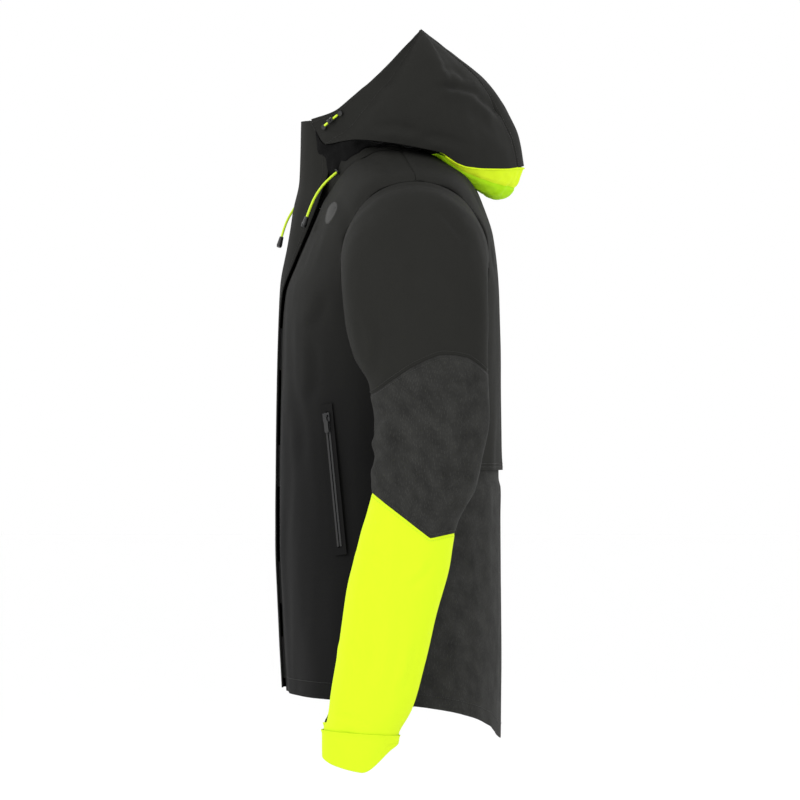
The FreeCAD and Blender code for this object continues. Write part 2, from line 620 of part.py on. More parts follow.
def hand_pockets():
    place, outwards, up, length = pocket_frame()
    tape = box(COIL_OUT - 0.5, -TAPE_THICK / 2, -length, 8.5, TAPE_THICK / 2, 0)
    tape = tape.fuse(box(-8.5, -TAPE_THICK / 2, -length, -COIL_OUT + 0.5, TAPE_THICK / 2, 0))
    tape = tape.fuse(box(-8.5, -TAPE_THICK / 2, 0, 8.5, TAPE_THICK / 2, 9))
    tape = tape.fuse(box(-8.5, -TAPE_THICK / 2, -length - 9, 8.5, TAPE_THICK / 2, -length))
    tape = tape.cut(box(COIL_IN - 0.2, -2, -length + 0.5, COIL_OUT + 0.1, 2, -0.5))
    tape = tape.cut(box(-COIL_OUT - 0.1, -2, -length + 0.5, -COIL_IN + 0.2, 2, -0.5))
    coils = [lengthways(COIL_OUT, COIL_THICK, length - 2, COIL_IN)]
    coils[0].translate(Vector(0, 0, -1))
    coils.append(mirrored(coils[0]))
    body, pull, pin = slider_and_pull()
    named = {"pocket_zip_frame": [tape.removeSplitter()], "pocket_zip_coils": coils, "pocket_slider": [body],
             "pocket_pull": [pull]}
    for name, shapes in named.items():
        for shape in shapes:
            if name in ("pocket_slider", "pocket_pull"):
                shape.translate(Vector(0, 0, -2))
        moved = []
        for shape in shapes:
            copy = shape.copy()
            copy.Placement = place.multiply(copy.Placement)
            moved.append(copy)
        if name in ("pocket_slider", "pocket_pull"):
            keep_pair(name, *moved)
        else:
            keep(name, *moved, *[mirrored(s) for s in moved])
    inside = offset(torso, out_of_torso, -CLOTH - 5)
    keep_pair("pocket_bag", panel(inside, span(24, 68, 8), lambda u: (-540, -285), out_of_torso, 1.2, rows=8))
    print("pocket pin", place.multVec(pin + Vector(0, 0, -2)), "outwards", outwards, "up", up, "length", length)


# ---- drawcords ----
LEFT_CORD = [(67, -58, -3), (69, -70, -13), (72, -81, -27), (74.5, -88.5, -42), (75.5, -93.6, -56.5)]
RIGHT_CORD = [(-64, -58, -3), (-62, -72, -9), (-56, -87, -19), (-47, -100.5, -33), (-37, -112, -49),
              (-30, -120.5, -65), (-26, -124.5, -80)]


def cord_tube(points, radius):
    """Straight runs joined by tangent arcs, each as large as its two runs allow."""
    pts = [Vector(*p) for p in points]
    edges, here, radii = [], pts[0], []
    for a, b, c in zip(pts, pts[1:], pts[2:]):
        into, out = (b - a).normalize(), (c - b).normalize()
        turn = into.getAngle(out)
        shorter = min((b - a).Length, (c - b).Length)
        back = 0.45 * shorter
        bend = back / math.tan(turn / 2)
        radii.append(round(bend, 1))
        start, end = b - into * back, b + out * back
        towards = (out - into).normalize()
        middle = b + towards * (bend / math.cos(turn / 2) - bend)
        edges.append(Part.LineSegment(here, start).toShape())
        edges.append(Part.Arc(start, middle, end).toShape())
        here = end
    edges.append(Part.LineSegment(here, pts[-1]).toShape())
    wire = Part.Wire(edges)
    circle = Part.Wire(Part.makeCircle(radius, pts[0], (pts[1] - pts[0])))
    tube = wire.makePipeShell([circle], True, True)
    expected = math.pi * radius ** 2 * wire.Length
    print("cord radii", radii, "length", round(wire.Length, 1), "volume share", round(tube.Volume / expected, 4))
    return tube


def cord_end(points, length, radius):
    """The moulded end that grips a cord, in line with its last run."""
    a, b = Vector(*points[-2]), Vector(*points[-1])
    along = (b - a).normalize()
    cone = Part.makeCone(radius * 0.72, radius, length * 0.8, b, along)
    tip = Part.makeCone(radius, radius * 0.8, length * 0.2, b + along * (length * 0.8), along)
    return cone.fuse(tip).removeSplitter()


def drawcords():
    for side, route in (("left", LEFT_CORD), ("right", RIGHT_CORD)):
        keep("drawcord_" + side, cord_tube(route, CORD_R))
        keep("cord_end_" + side, cord_end(route, 13, 3.4))
    rings = []
    for route in (LEFT_CORD, RIGHT_CORD):
        a, b = Vector(*route[0]), Vector(*route[1])
        along = (b - a).normalize()
        ring = Part.makeCylinder(4.2, 1.6, a - along * 1.7, along)
        rings.append(ring)
    keep("cord_exit_eyelets", *rings)


# ---- hood side adjusters ----
ADJUSTER_LOW, ADJUSTER_HIGH = (0.045, 0.08), (0.03, 0.20)
ADJUSTER_LIFT = 5.4


def adjuster():
    """A short stretch of drawcord in the open between two eyelets, with a lock that slides on it."""
    low, high = hood(*ADJUSTER_LOW), hood(*ADJUSTER_HIGH)
    u, t = [(a + b) / 2 for a, b in zip(ADJUSTER_LOW, ADJUSTER_HIGH)]
    n = normal_at(hood, u, t, 0.001, 0.002)
    if n.dot(out_of_hood(low)) < 0:
        n = n.negative()
    along = (high - low).normalize()
    middle = (low + high) * 0.5
    centre = middle + n * ADJUSTER_LIFT
    a, b = centre - along * 11, centre + along * 11
    cord = Part.makeCylinder(1.3, 22, a, along)
    feet = []
    for p, way in ((a, -1), (b, 1)):
        feet.append(Part.makeCylinder(3.2, 1.9, p + along * (way * 3.4) - n * 3.2, n))
    lock = Part.makeCylinder(3.3, 8, centre - along * 4, along)
    lock = lock.cut(Part.makeCylinder(1.4, 12, centre - along * 6, along))
    button = Part.makeCylinder(1.7, 2.4, centre + n * 2.1, n)
    keep("adjuster_cords", cord, mirrored(cord))
    keep("adjuster_eyelets", *feet, *[mirrored(f) for f in feet])
    keep_pair("cord_lock", lock.fuse(button))
    print("adjuster along", along, "middle", centre)


def chest_badge():
    """A plain oval patch on the left chest."""
    lifted = offset(torso, out_of_torso, 0.75)
    patch = panel(lifted, span(49, 66, 5), lambda u: (-72, -31), out_of_torso, 0.6, rows=5)
    p = torso(57.5, -51.5)
    n = normal_at(torso, 57.5, -51.5, 0.05, 0.05)
    if n.dot(out_of_torso(p)) < 0:
        n = n.negative()
    keep("chest_badge", patch.common(Part.makeCylinder(13, 30, p - n * 15, n)))


def main():
    os.makedirs("parts", exist_ok=True)
    for old in os.listdir("parts"):
        os.remove(os.path.join("parts", old))
    for step in (front_panels, back_panels, hem_facing, armhole_bands, sleeves, hood_panels, hood_gusset,
                 collars, hanger_loop, storm_flap, front_zip, hand_pockets, drawcords, adjuster,
                 chest_badge):
        step()
    for name, shape in parts.items():
        if not shape.isValid() or shape.Volume <= 0:
            print("INVALID", name, shape.Volume)
        shape.exportStep(os.path.join("parts", name + ".step"))
    print(len(parts), "nodes, volume", round(sum(s.Volume for s in parts.values()) / 1e6, 3), "litres")


main()
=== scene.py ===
# %% [markdown]
# # A hooded rain jacket with hi-vis sleeves
# The jacket is built as a tailor would: pattern pieces are cut as grids on the worn shape, given
# folds, rolled under at their seams, and sewn with real stitches. Hardware comes from the CAD frame.

# %% Load the frame
import bisect
import math

import bmesh
import bpy
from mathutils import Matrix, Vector, noise


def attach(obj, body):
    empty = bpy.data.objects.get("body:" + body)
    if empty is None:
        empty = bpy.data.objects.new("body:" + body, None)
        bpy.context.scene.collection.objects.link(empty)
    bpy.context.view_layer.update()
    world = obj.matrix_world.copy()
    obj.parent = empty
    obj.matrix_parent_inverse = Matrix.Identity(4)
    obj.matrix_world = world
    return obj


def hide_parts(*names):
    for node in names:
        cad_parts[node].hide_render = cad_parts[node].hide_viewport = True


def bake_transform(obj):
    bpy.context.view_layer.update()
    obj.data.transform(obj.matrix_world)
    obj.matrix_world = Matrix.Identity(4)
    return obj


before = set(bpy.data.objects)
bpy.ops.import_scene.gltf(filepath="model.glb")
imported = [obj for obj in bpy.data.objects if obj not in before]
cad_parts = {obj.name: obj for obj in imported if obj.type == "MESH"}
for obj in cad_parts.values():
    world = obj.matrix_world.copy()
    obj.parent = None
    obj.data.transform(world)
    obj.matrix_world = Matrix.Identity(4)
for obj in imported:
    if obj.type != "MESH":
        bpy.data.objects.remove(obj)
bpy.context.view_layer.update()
MM = 0.001

# %% [markdown]
# ## Camera and light
# A garment on an unseen dummy is shot from the side with a long lens, so that the silhouette isn't
# distorted, in front of white paper with large soft lights. Colours are shown as they are.

# %% Camera
scene = bpy.context.scene
scene.view_settings.view_transform = "Standard"
VIEW_CENTRE = Vector((0.05, 0.018, -0.276))
VIEW_WIDTH = 0.96
LENS = 1000
camera = bpy.data.objects.new("camera", bpy.data.cameras.new("camera"))
camera.data.lens = LENS
camera.data.clip_end = 120
distance = VIEW_WIDTH / 2 / (camera.data.sensor_width / 2 / LENS)
camera.location = VIEW_CENTRE + Vector((distance, 0, 0))
camera.rotation_euler = (math.pi / 2, 0, math.pi / 2)
scene.collection.objects.link(camera)
scene.camera = camera
print("camera", round(distance, 2), "m away")


# %% Lights
def area_light(name, place, size, power):
    """A soft box that faces the middle of the jacket."""
    lamp = bpy.data.lights.new(name, "AREA")
    lamp.energy, lamp.size = power, size
    holder = bpy.data.objects.new(name, lamp)
    holder.location = place
    holder.rotation_euler = (VIEW_CENTRE - Vector(place)).to_track_quat("-Z", "Y").to_euler()
    scene.collection.objects.link(holder)


area_light("key_box", (2.6, -2.4, 1.7), 1.2, 44)
area_light("fill_box", (2.4, 2.6, 1.0), 1.2, 18)
area_light("front_box", (-2.2, -2.8, 1.2), 1.4, 24)
area_light("back_box", (-2.6, 2.2, 1.4), 1.4, 24)
world = bpy.data.worlds.new("studio")
world.use_nodes = True
world.node_tree.nodes["Background"].inputs["Color"].default_value = (1, 1, 1, 1)
world.node_tree.nodes["Background"].inputs["Strength"].default_value = 1.0
scene.world = world

# %% [markdown]
# ## Finishes
# The shell is a laminated plain weave: nearly smooth, dull, with a faint grid of threads. The elbows
# and lower back are woven with glass-bead dashes. The sleeves' ends are fluorescent dyed polyester.
# Patterns read each piece's own UV map, which is laid out in metres along the cloth.


# %% Node helpers
def linear(code):
    """The linear colour of an sRGB hex value."""
    values = [int(code[i:i + 2], 16) / 255 for i in (1, 3, 5)]
    return tuple(v / 12.92 if v <= 0.04045 else ((v + 0.055) / 1.055) ** 2.4 for v in values) + (1,)


def add(tree, kind, settings=(), **inputs):
    """A node with its settings, and its sockets set or linked."""
    node = tree.nodes.new(kind)
    for key, value in dict(settings).items():
        setattr(node, key, value)
    for key, value in inputs.items():
        numbered = key[0] == "i" and key[1:].isdigit()
        socket = node.inputs[int(key[1:]) if numbered else key.replace("_", " ")]
        if isinstance(value, bpy.types.NodeSocket):
            tree.links.new(value, socket)
        else:
            socket.default_value = value
    return node


def maths(tree, operation, a, b=0.0, c=0.0):
    return add(tree, "ShaderNodeMath", {"operation": operation}, i0=a, i1=b, i2=c).outputs[0]


def new_material(name, roughness, **fixed):
    material = bpy.data.materials.new(name)
    material.use_nodes = True
    shader = material.node_tree.nodes["Principled BSDF"]
    shader.inputs["Roughness"].default_value = roughness
    for key, value in fixed.items():
        shader.inputs[key.replace("_", " ")].default_value = value
    return material, material.node_tree, shader


# %% Woven cloth
def weave_height(tree, pitch):
    """Over-and-under threads: two crossed sine waves on the UV map, out of step like a chequerboard."""
    uv = add(tree, "ShaderNodeUVMap", {"uv_map": "cloth"}).outputs[0]
    split = add(tree, "ShaderNodeSeparateXYZ", i0=uv)
    turn = 2 * math.pi / pitch
    across = maths(tree, "SINE", maths(tree, "MULTIPLY", split.outputs[0], turn))
    along = maths(tree, "SINE", maths(tree, "MULTIPLY", split.outputs[1], turn))
    return uv, split, maths(tree, "MULTIPLY", across, along)


# the heights between which the front's painted shade darkens the cloth towards the hem
PAINTED_SHADE_TOP, PAINTED_SHADE_LOW = -0.03, -0.33


def cloth_material(name, colour, shade, roughness, mottle=0.35, low=None, **fixed):
    """Plain weave, drawn at 1.5 mm so that it shows at all. With low, it darkens to that towards the hem:
    painted shade.
    """
    material, tree, shader = new_material(name, roughness, **fixed)
    uv, split, height = weave_height(tree, 1.5 * MM)
    cloudy = add(tree, "ShaderNodeTexNoise", Vector=uv, Scale=28.0, Detail=5.0, Roughness=0.6).outputs[0]
    fine = add(tree, "ShaderNodeTexNoise", Vector=uv, Scale=420.0, Detail=2.0).outputs[0]
    patches = maths(tree, "MULTIPLY", maths(tree, "ADD", cloudy, fine), mottle)
    blend = maths(tree, "MULTIPLY_ADD", height, 0.12, patches)
    mix = add(tree, "ShaderNodeMix", {"data_type": "RGBA", "clamp_factor": True}, i0=blend)
    mix.inputs[6].default_value = linear(colour)
    mix.inputs[7].default_value = linear(shade)
    colours = mix.outputs[2]
    # painted shade: from the top height down to the low height the colour darkens to low, as the shade that
    # falls on the lower front beside the sleeve
    if low:
        place = add(tree, "ShaderNodeTexCoord").outputs["Object"]
        z = add(tree, "ShaderNodeSeparateXYZ", i0=place).outputs[2]
        share = maths(tree, "DIVIDE", maths(tree, "SUBTRACT", z, PAINTED_SHADE_LOW), PAINTED_SHADE_TOP - PAINTED_SHADE_LOW)
        fade = add(tree, "ShaderNodeMix", {"data_type": "RGBA", "clamp_factor": True}, i0=share, i7=colours)
        fade.inputs[6].default_value = linear(low)
        colours = fade.outputs[2]
    tree.links.new(colours, shader.inputs["Base Color"])
    relief = maths(tree, "ADD", maths(tree, "MULTIPLY", height, 0.5), maths(tree, "MULTIPLY", fine, 0.6))
    bumped = add(tree, "ShaderNodeBump", Height=relief, Strength=0.35, Distance=0.0003)
    tree.links.new(bumped.outputs[0], shader.inputs["Normal"])
    return material


# laminated polyester, dull black: light rolls off it softly
black_shell = cloth_material("black_shell_weave", "#272725", "#1F1F1D", 0.75, Specular_IOR_Level=0.05)
# the fronts, storm flap and pocket frames: the shell cloth with painted shade that darkens it towards the hem
front_shell_painted_shade = cloth_material("front_shell_weave", "#272725", "#1F1F1D", 0.75, low="#171717",
                             Specular_IOR_Level=0.05)
# fluorescent dye gives back more light than falls on it in its colour; the emission is a painted glow that
# stands in for this and shines whatever light falls on it
hi_vis = cloth_material("hi_vis_painted_glow_weave", "#CDE426", "#BFD920", 0.75, mottle=0.25, Specular_IOR_Level=0.05,
                        Emission_Color=linear("#D0FF10"), Emission_Strength=0.06)
# a darker, greener copy of the hi-vis cloth: painted shade for the gutter's inside, with a weaker painted
# glow
hi_vis_painted_shade = cloth_material("hi_vis_painted_shade_weave", "#A8DA1A", "#95CC12", 0.75, mottle=0.25,
                              Specular_IOR_Level=0.05, Emission_Color=linear("#A8F010"),
                              Emission_Strength=0.03)
# a darker copy of the shell: painted shade for the cloth inside the hood's rim and under the hood
lining_painted_shade = cloth_material("painted_shade_lining_weave", "#151515", "#101010", 0.85, Specular_IOR_Level=0.04)


# %% Reflective weave
DASH_PITCH, DASH_LENGTH = 1.9 * MM, 5.0 * MM


def dash_material(name, ground, dash):
    """Dull black weave with rows of short upright dashes of glass-bead yarn, broken at random."""
    material, tree, shader = new_material(name, 0.75, Specular_IOR_Level=0.05)
    uv, split, height = weave_height(tree, 1.6 * MM)
    column = maths(tree, "DIVIDE", split.outputs[0], DASH_PITCH)
    number = maths(tree, "FLOOR", column)
    start = add(tree, "ShaderNodeTexWhiteNoise", {"noise_dimensions": "1D"}, W=number).outputs[0]
    row = maths(tree, "MULTIPLY_ADD", start, 9.0, maths(tree, "DIVIDE", split.outputs[1], DASH_LENGTH))
    cell = add(tree, "ShaderNodeCombineXYZ", i0=number, i1=maths(tree, "FLOOR", row)).outputs[0]
    kept = add(tree, "ShaderNodeTexWhiteNoise", {"noise_dimensions": "2D"}, Vector=cell).outputs[0]
    thin = maths(tree, "COMPARE", maths(tree, "FRACT", column), 0.5, 0.17)
    short = maths(tree, "COMPARE", maths(tree, "FRACT", row), 0.5, 0.36)
    mask = maths(tree, "MULTIPLY", maths(tree, "MULTIPLY", thin, short), maths(tree, "POWER", kept, 1.2))
    cloudy = add(tree, "ShaderNodeTexNoise", Vector=uv, Scale=45.0, Detail=4.0).outputs[0]
    mask = maths(tree, "MULTIPLY_ADD", mask, 0.5, maths(tree, "SUBTRACT", cloudy, 0.25))
    mix = add(tree, "ShaderNodeMix", {"data_type": "RGBA", "clamp_factor": True}, i0=mask)
    mix.inputs[6].default_value = linear(ground)
    mix.inputs[7].default_value = linear(dash)
    tree.links.new(mix.outputs[2], shader.inputs["Base Color"])
    relief = maths(tree, "ADD", height, mask)
    bumped = add(tree, "ShaderNodeBump", Height=relief, Strength=0.3, Distance=0.0003)
    tree.links.new(bumped.outputs[0], shader.inputs["Normal"])
    return material


reflective = dash_material("reflective_dash_weave", "#222221", "#3E3E3C")


# %% Trim, zip and cord finishes
def grained_material(name, colour, roughness, grain_mm, bump=0.15, metallic=0.0):
    """Moulded or enamelled surface with a fine grain on Object coordinates."""
    material, tree, shader = new_material(name, roughness, Metallic=metallic)
    place = add(tree, "ShaderNodeTexCoord").outputs["Object"]
    grain = add(tree, "ShaderNodeTexNoise", Vector=place, Scale=1 / (grain_mm * MM), Detail=3.0).outputs[0]
    mix = add(tree, "ShaderNodeMix", {"data_type": "RGBA"}, i0=grain)
    mix.inputs[6].default_value = linear(colour)
    mix.inputs[7].default_value = tuple(v * 0.7 for v in linear(colour)[:3]) + (1,)
    tree.links.new(mix.outputs[2], shader.inputs["Base Color"])
    bumped = add(tree, "ShaderNodeBump", Height=grain, Strength=bump, Distance=0.0002)
    tree.links.new(bumped.outputs[0], shader.inputs["Normal"])
    return material


moulded = grained_material("moulded_rubber_black", "#151515", 0.45, 0.8)
zip_enamel = grained_material("zip_enamel_black", "#18181A", 0.4, 0.4, 0.08)
coil_nylon = grained_material("coil_nylon", "#141414", 0.6, 0.5)
badge_film = grained_material("badge_film_grey", "#2C2C2A", 0.8, 1.2, 0.1)
tape_weave = grained_material("woven_tape", "#181818", 0.8, 0.7, 0.5)
thread_black = grained_material("sewing_thread_black", "#2E2E2C", 0.55, 0.4)
thread_hi_vis = grained_material("sewing_thread_hi_vis", "#B4D61C", 0.55, 0.4)


def cord_material():
    """Braided cord: slanting strands both ways, so it reads as a fine diamond pattern."""
    # the emission is a painted glow, standing in for the fluorescence of the hi-vis braid
    material, tree, shader = new_material("braided_cord_hi_vis_painted_glow", 0.6, Emission_Color=linear("#D8FF1E"),
                                          Emission_Strength=0.08)
    place = add(tree, "ShaderNodeTexCoord").outputs["Object"]
    strands = add(tree, "ShaderNodeTexVoronoi", Vector=place, Scale=1100.0).outputs[0]
    mix = add(tree, "ShaderNodeMix", {"data_type": "RGBA", "clamp_factor": True}, i0=strands)
    mix.inputs[6].default_value = linear("#DDF32A")
    mix.inputs[7].default_value = linear("#A9CC1A")
    tree.links.new(mix.outputs[2], shader.inputs["Base Color"])
    bumped = add(tree, "ShaderNodeBump", Height=strands, Strength=0.4, Distance=0.0003)
    tree.links.new(bumped.outputs[0], shader.inputs["Normal"])
    return material


cord_braid = cord_material()

# %% [markdown]
# ## The worn shape
# A jacket on a body is a few smooth surfaces: a torso that is an oval at each height, a bent sleeve,
# a hood of two sides and a centre strip. Each is a function of two numbers, in millimetres, so that a
# pattern piece is only a range of those numbers. The outlines agree with the frame's solids.


# %% Curves through points
def profile(points):
    """A smooth function through the points, with no overshoot (Fritsch-Carlson slopes)."""
    points = sorted(points)
    xs = [p[0] for p in points]
    ys = [p[1] for p in points]
    steps = [(ys[i + 1] - ys[i]) / (xs[i + 1] - xs[i]) for i in range(len(xs) - 1)]
    slopes = [steps[0]]
    for a, b in zip(steps, steps[1:]):
        slopes.append(0 if a * b <= 0 else 2 * a * b / (a + b))
    slopes.append(steps[-1])

    def value(x):
        if x <= xs[0]:
            return ys[0] + slopes[0] * (x - xs[0])
        if x >= xs[-1]:
            return ys[-1] + slopes[-1] * (x - xs[-1])
        i = bisect.bisect_right(xs, x) - 1
        h = xs[i + 1] - xs[i]
        t = (x - xs[i]) / h
        return (ys[i] * (1 + 2 * t) * (1 - t) ** 2 + slopes[i] * h * t * (1 - t) ** 2
                + ys[i + 1] * t * t * (3 - 2 * t) + slopes[i + 1] * h * t * t * (t - 1))
    return value


def smooth(t):
    t = max(0.0, min(1.0, t))
    return t * t * (3 - 2 * t)


def lerp(a, b, t):
    return a + (b - a) * t


def span(a, b, n):
    return [lerp(a, b, i / (n - 1)) for i in range(n)]


def path_3d(points):
    """A smooth path over 0..1 by chord length."""
    along = [0.0]
    for a, b in zip(points, points[1:]):
        along.append(along[-1] + math.dist(a, b))
    axes = [profile([(d / along[-1], p[i]) for d, p in zip(along, points)]) for i in range(3)]
    return lambda t: Vector([f(t) for f in axes])


# %% Torso
front_y = profile([(-690, -113), (-623, -119), (-528, -124), (-444, -127), (-348, -126.5), (-250, -125),
                   (-192, -123.5), (-151, -120), (-111, -106), (-71, -89), (-48, -79), (-20, -66), (0, -55),
                   (12, -47), (26, -38)])
back_y = profile([(-690, 137), (-552, 140), (-396, 138.5), (-216, 138), (-156, 136.5), (-84, 129.5),
                  (-35, 114), (-12, 102), (6, 85), (26, 62)])
half_w = profile([(-690, 228), (-623, 225), (-528, 217), (-444, 209), (-348, 203), (-250, 204), (-192, 206),
                  (-140, 206), (-89, 204), (-48, 201), (-28, 197), (-12, 186), (0, 160), (12, 122), (26, 78)])
back_power = profile([(-690, 2.6), (-400, 2.8), (-250, 3.6), (-150, 4.2), (-60, 4.0), (0, 2.8), (26, 2.4)])
FRONT_POWER = 2.5
neck_z = profile([(0, -50), (20, -44), (35, -30), (50, -4), (65, 15), (80, 23.5), (100, 23.5), (120, 19),
                  (150, 10), (180, 5)])
hem_z = profile([(0, -623), (40, -628), (95, -641), (130, -664), (155, -678), (180, -682)])
SIDE_SEAM, YOKE_BOTTOM_Z, BACK_TOP_Z, CENTRE_EDGE = 95, -360, -346, 5.5
ARM_Y, ARM_Z, ARM_R, ARM_PLANE_X = 36, -108, 88, 212
ZIP_TOP, ZIP_BOTTOM, ZIP_BULGE = (-84, 56), (-113, -616), 16
zip_chord = math.dist(ZIP_TOP, ZIP_BOTTOM)
ARC_RADIUS = (zip_chord ** 2 / 4 + ZIP_BULGE ** 2) / (2 * ZIP_BULGE)
arc_back = (ARC_RADIUS - ZIP_BULGE) / zip_chord
ARC_CENTRE_Y = (ZIP_TOP[0] + ZIP_BOTTOM[0]) / 2 + arc_back * (ZIP_TOP[1] - ZIP_BOTTOM[1])
ARC_CENTRE_Z = (ZIP_TOP[1] + ZIP_BOTTOM[1]) / 2 - arc_back * (ZIP_TOP[0] - ZIP_BOTTOM[0])


def zip_y(z):
    return ARC_CENTRE_Y - math.sqrt(ARC_RADIUS ** 2 - (z - ARC_CENTRE_Z) ** 2)


def torso(degrees, z):
    """A point of the shell's outer face, the angle counted from centre front to the wearer's left."""
    a = math.radians(degrees)
    yc = (front_y(z) + back_y(z)) / 2
    depth = (back_y(z) - front_y(z)) / 2
    power = FRONT_POWER if math.cos(a) > 0 else back_power(z)
    r = (abs(math.sin(a) / half_w(z)) ** power + abs(math.cos(a) / depth) ** power) ** (-1 / power)
    x, y = r * math.sin(a), yc - r * math.cos(a)
    if math.cos(a) > 0:
        y += (zip_y(z) - front_y(z) + 1.5) * smooth((21 - abs(x)) / 10)
    return Vector((x, y, z))


def round_angle(degrees):
    return abs((degrees + 180) % 360 - 180)


def out_of_torso(p):
    return Vector((p.x, p.y - 8, 0))


def surface_x(y, z):
    """How far out the shell is at depth y and height z."""
    low, high = (2.0, 90.0) if y < torso(90, z).y else (90.0, 178.0)
    for _ in range(30):
        middle = (low + high) / 2
        if torso(middle, z).y < y:
            low = middle
        else:
            high = middle
    return torso(low, z).x


print("zip arc radius", round(ARC_RADIUS), "mm")

# %% Sleeve
SLEEVE_RINGS = [
    ((213.2, -20), (213.2, -196), 36, 88, 0), ((248, -27), (215, -200), 36, 87.5, 0),
    ((280, -52), (217, -205), 36, 87, 0), ((302, -92), (219, -212), 36.5, 86, 0),
    ((314, -140), (222, -224), 38, 85, 0), ((320, -195), (225, -243), 42, 80, 0),
    ((324, -250), (228, -268), 52, 70.5, 0), ((326, -300), (231, -304), 55, 68.7, 0),
    ((328, -345), (234, -345), 51, 64.7, 0), ((328, -385), (237, -385), 46, 62.4, 4),
    ((327, -430), (240, -430), 28.5, 58, 6), ((326, -485), (243, -485), 16.5, 60, 8),
    ((326, -545), (246, -545), 4, 57, 10), ((325, -605), (248, -605), -8, 55, 12),
    ((324, -650), (249, -650), -18, 51, 6), ((321, -676), (251, -672), -29, 45, -4),
    ((314, -719), (256, -694), -29, 44.5, -8)]
SLEEVE_POWER = 2.2
SLEEVE_FRONT_SEAM, SLEEVE_BACK_SEAM, CUFF_RING = -8, 188, 15
CUFF_BACK_RISE, CUFF_LAP = 32, 0.12
yoke_seam = profile([(-20, -272), (11, -251), (40, -233), (72, -222), (97, -225), (114, -235), (124, -245)])
CHEVRON = ((-18, -385), (54, -440.5), (92, -433))


def chevron(y):
    """Two straight seams that meet in a point behind the elbow."""
    start, point, end = CHEVRON
    a, b = (start, point) if y < point[0] else (point, end)
    return lerp(a[1], b[1], (y - a[0]) / (b[0] - a[0]))

ring_columns = list(zip(*[(o[0], o[1], i[0], i[1], y, a, drop) for o, i, y, a, drop in SLEEVE_RINGS]))
RING = [profile(list(enumerate(c))) for c in ring_columns]


def sleeve(degrees, k):
    """A point of the left sleeve: degrees round from the front edge over the outer side, ring number k."""
    ox, oz, ix, iz, yc, half, drop = [f(k) for f in RING]
    a = math.radians(degrees)
    power = lerp(2.0, SLEEVE_POWER, smooth(k / 4))
    r = (abs(math.sin(a)) ** power + abs(math.cos(a)) ** power) ** (-1 / power)
    c, s = r * math.cos(a), r * math.sin(a)
    rise = CUFF_BACK_RISE * smooth(-c) * smooth(k - CUFF_RING)
    z = (oz + iz) / 2 + s * (oz - iz) / 2 - c * drop + rise
    return Vector(((ox + ix) / 2 + s * (ox - ix) / 2, yc - c * half, z))


def out_of_sleeve(p):
    k = min(range(len(SLEEVE_RINGS)), key=lambda i: (sleeve_middle(i) - p).length)
    return p - sleeve_middle(k)


def sleeve_middle(k):
    ox, oz, ix, iz, yc, half, drop = [f(k) for f in RING]
    return Vector(((ox + ix) / 2, yc, (oz + iz) / 2))


def ring_where(degrees, height):
    """The ring number at which the sleeve reaches a height that depends on depth."""
    low, high = 4.0, float(CUFF_RING)
    for _ in range(30):
        middle = (low + high) / 2
        p = sleeve(degrees, middle)
        if p.z > height(p.y):
            low = middle
        else:
            high = middle
    return low


# %% Hood, collar and storm flap
rim_path = path_3d([(40, -89, 61), (62, -60, 71), (74, -38, 89), (79, -5, 118), (66, 20, 144), (44, 34, 159),
                    (23, 43, 169)])
seam_path = path_3d([(30, 160, 3), (29, 153, 35), (28, 139, 64), (26, 114, 107), (24, 73, 145),
                     (23, 43.5, 169)])
HOOD_EDGE = [(40, -89, 61), (56, -70, 31), (84, -36, 36), (104, 7, 32), (110, 40, 26), (110, 67, 20),
             (102, 94, 4), (84, 119, 1), (56, 145, 1), (30, 160, 3)]
edge_path = path_3d(HOOD_EDGE)
strip_bulge = profile([(0, 7), (0.35, 10), (0.6, 5), (0.85, 1.5), (1, 0.8)])
HOOD_BULGE = 9
COLLAR_Y, COLLAR_HALF_DEPTH, COLLAR_HALF_W, COLLAR_TOP = -14, 77, 62, 57
flap_y = profile([(-623, -124), (-528, -129), (-444, -132), (-348, -131.4), (-250, -130), (-192, -128.5),
                  (-140, -126), (-89, -117), (-48, -110), (-12, -103), (58, -101)])
flap_free = profile([(-623, 34), (-200, 34), (-151, 36), (-111, 42), (-71, 50), (-35, 54), (0, 54), (28, 50),
                     (46, 42), (58, 33)])
flap_free_y = profile([(-623, -123), (-528, -128), (-444, -131), (-348, -130.5), (-250, -129),
                       (-192, -127.5), (-151, -124.5), (-111, -110), (-71, -93), (-48, -83.5), (-20, -74),
                       (0, -68), (28, -70), (46, -79), (58, -88)])
flap_sewn_y = profile([(-623, -123), (-528, -128), (-444, -131), (-348, -130.5), (-250, -129), (-192, -127.5),
                       (-151, -124.5), (-111, -112), (-71, -97), (-48, -93), (-20, -91), (0, -90), (58, -91)])
FLAP_SEWN_X = -34


def hood(u, t):
    """The left side panel: u from the rim to the strip seam, t from the lower edge to the peak."""
    rim, seam, edge, peak = rim_path(t), seam_path(t), edge_path(u), (rim_path(1) + seam_path(1)) * 0.5
    sides = rim * (1 - u) + seam * u + edge * (1 - t) + peak * t
    corners = (rim_path(0) * (1 - u) + seam_path(0) * u) * (1 - t) + peak * t
    full = HOOD_BULGE * math.sin(math.pi * u) * max(0.0, math.sin(math.pi * t)) ** 0.8
    return sides - corners + Vector((full, 0, full * 0.4))


def hood_strip(s, t):
    seam = seam_path(t)
    side = max(-1.0, min(1.0, s))
    out = strip_bulge(t) * (1 - abs(side) ** 2.2) - 40 * abs(s - side)
    return Vector((seam.x * side + 20 * (s - side), seam.y + out, seam.z + out * 0.35))


def out_of_hood(p):
    return p - Vector((0, 25, 45))


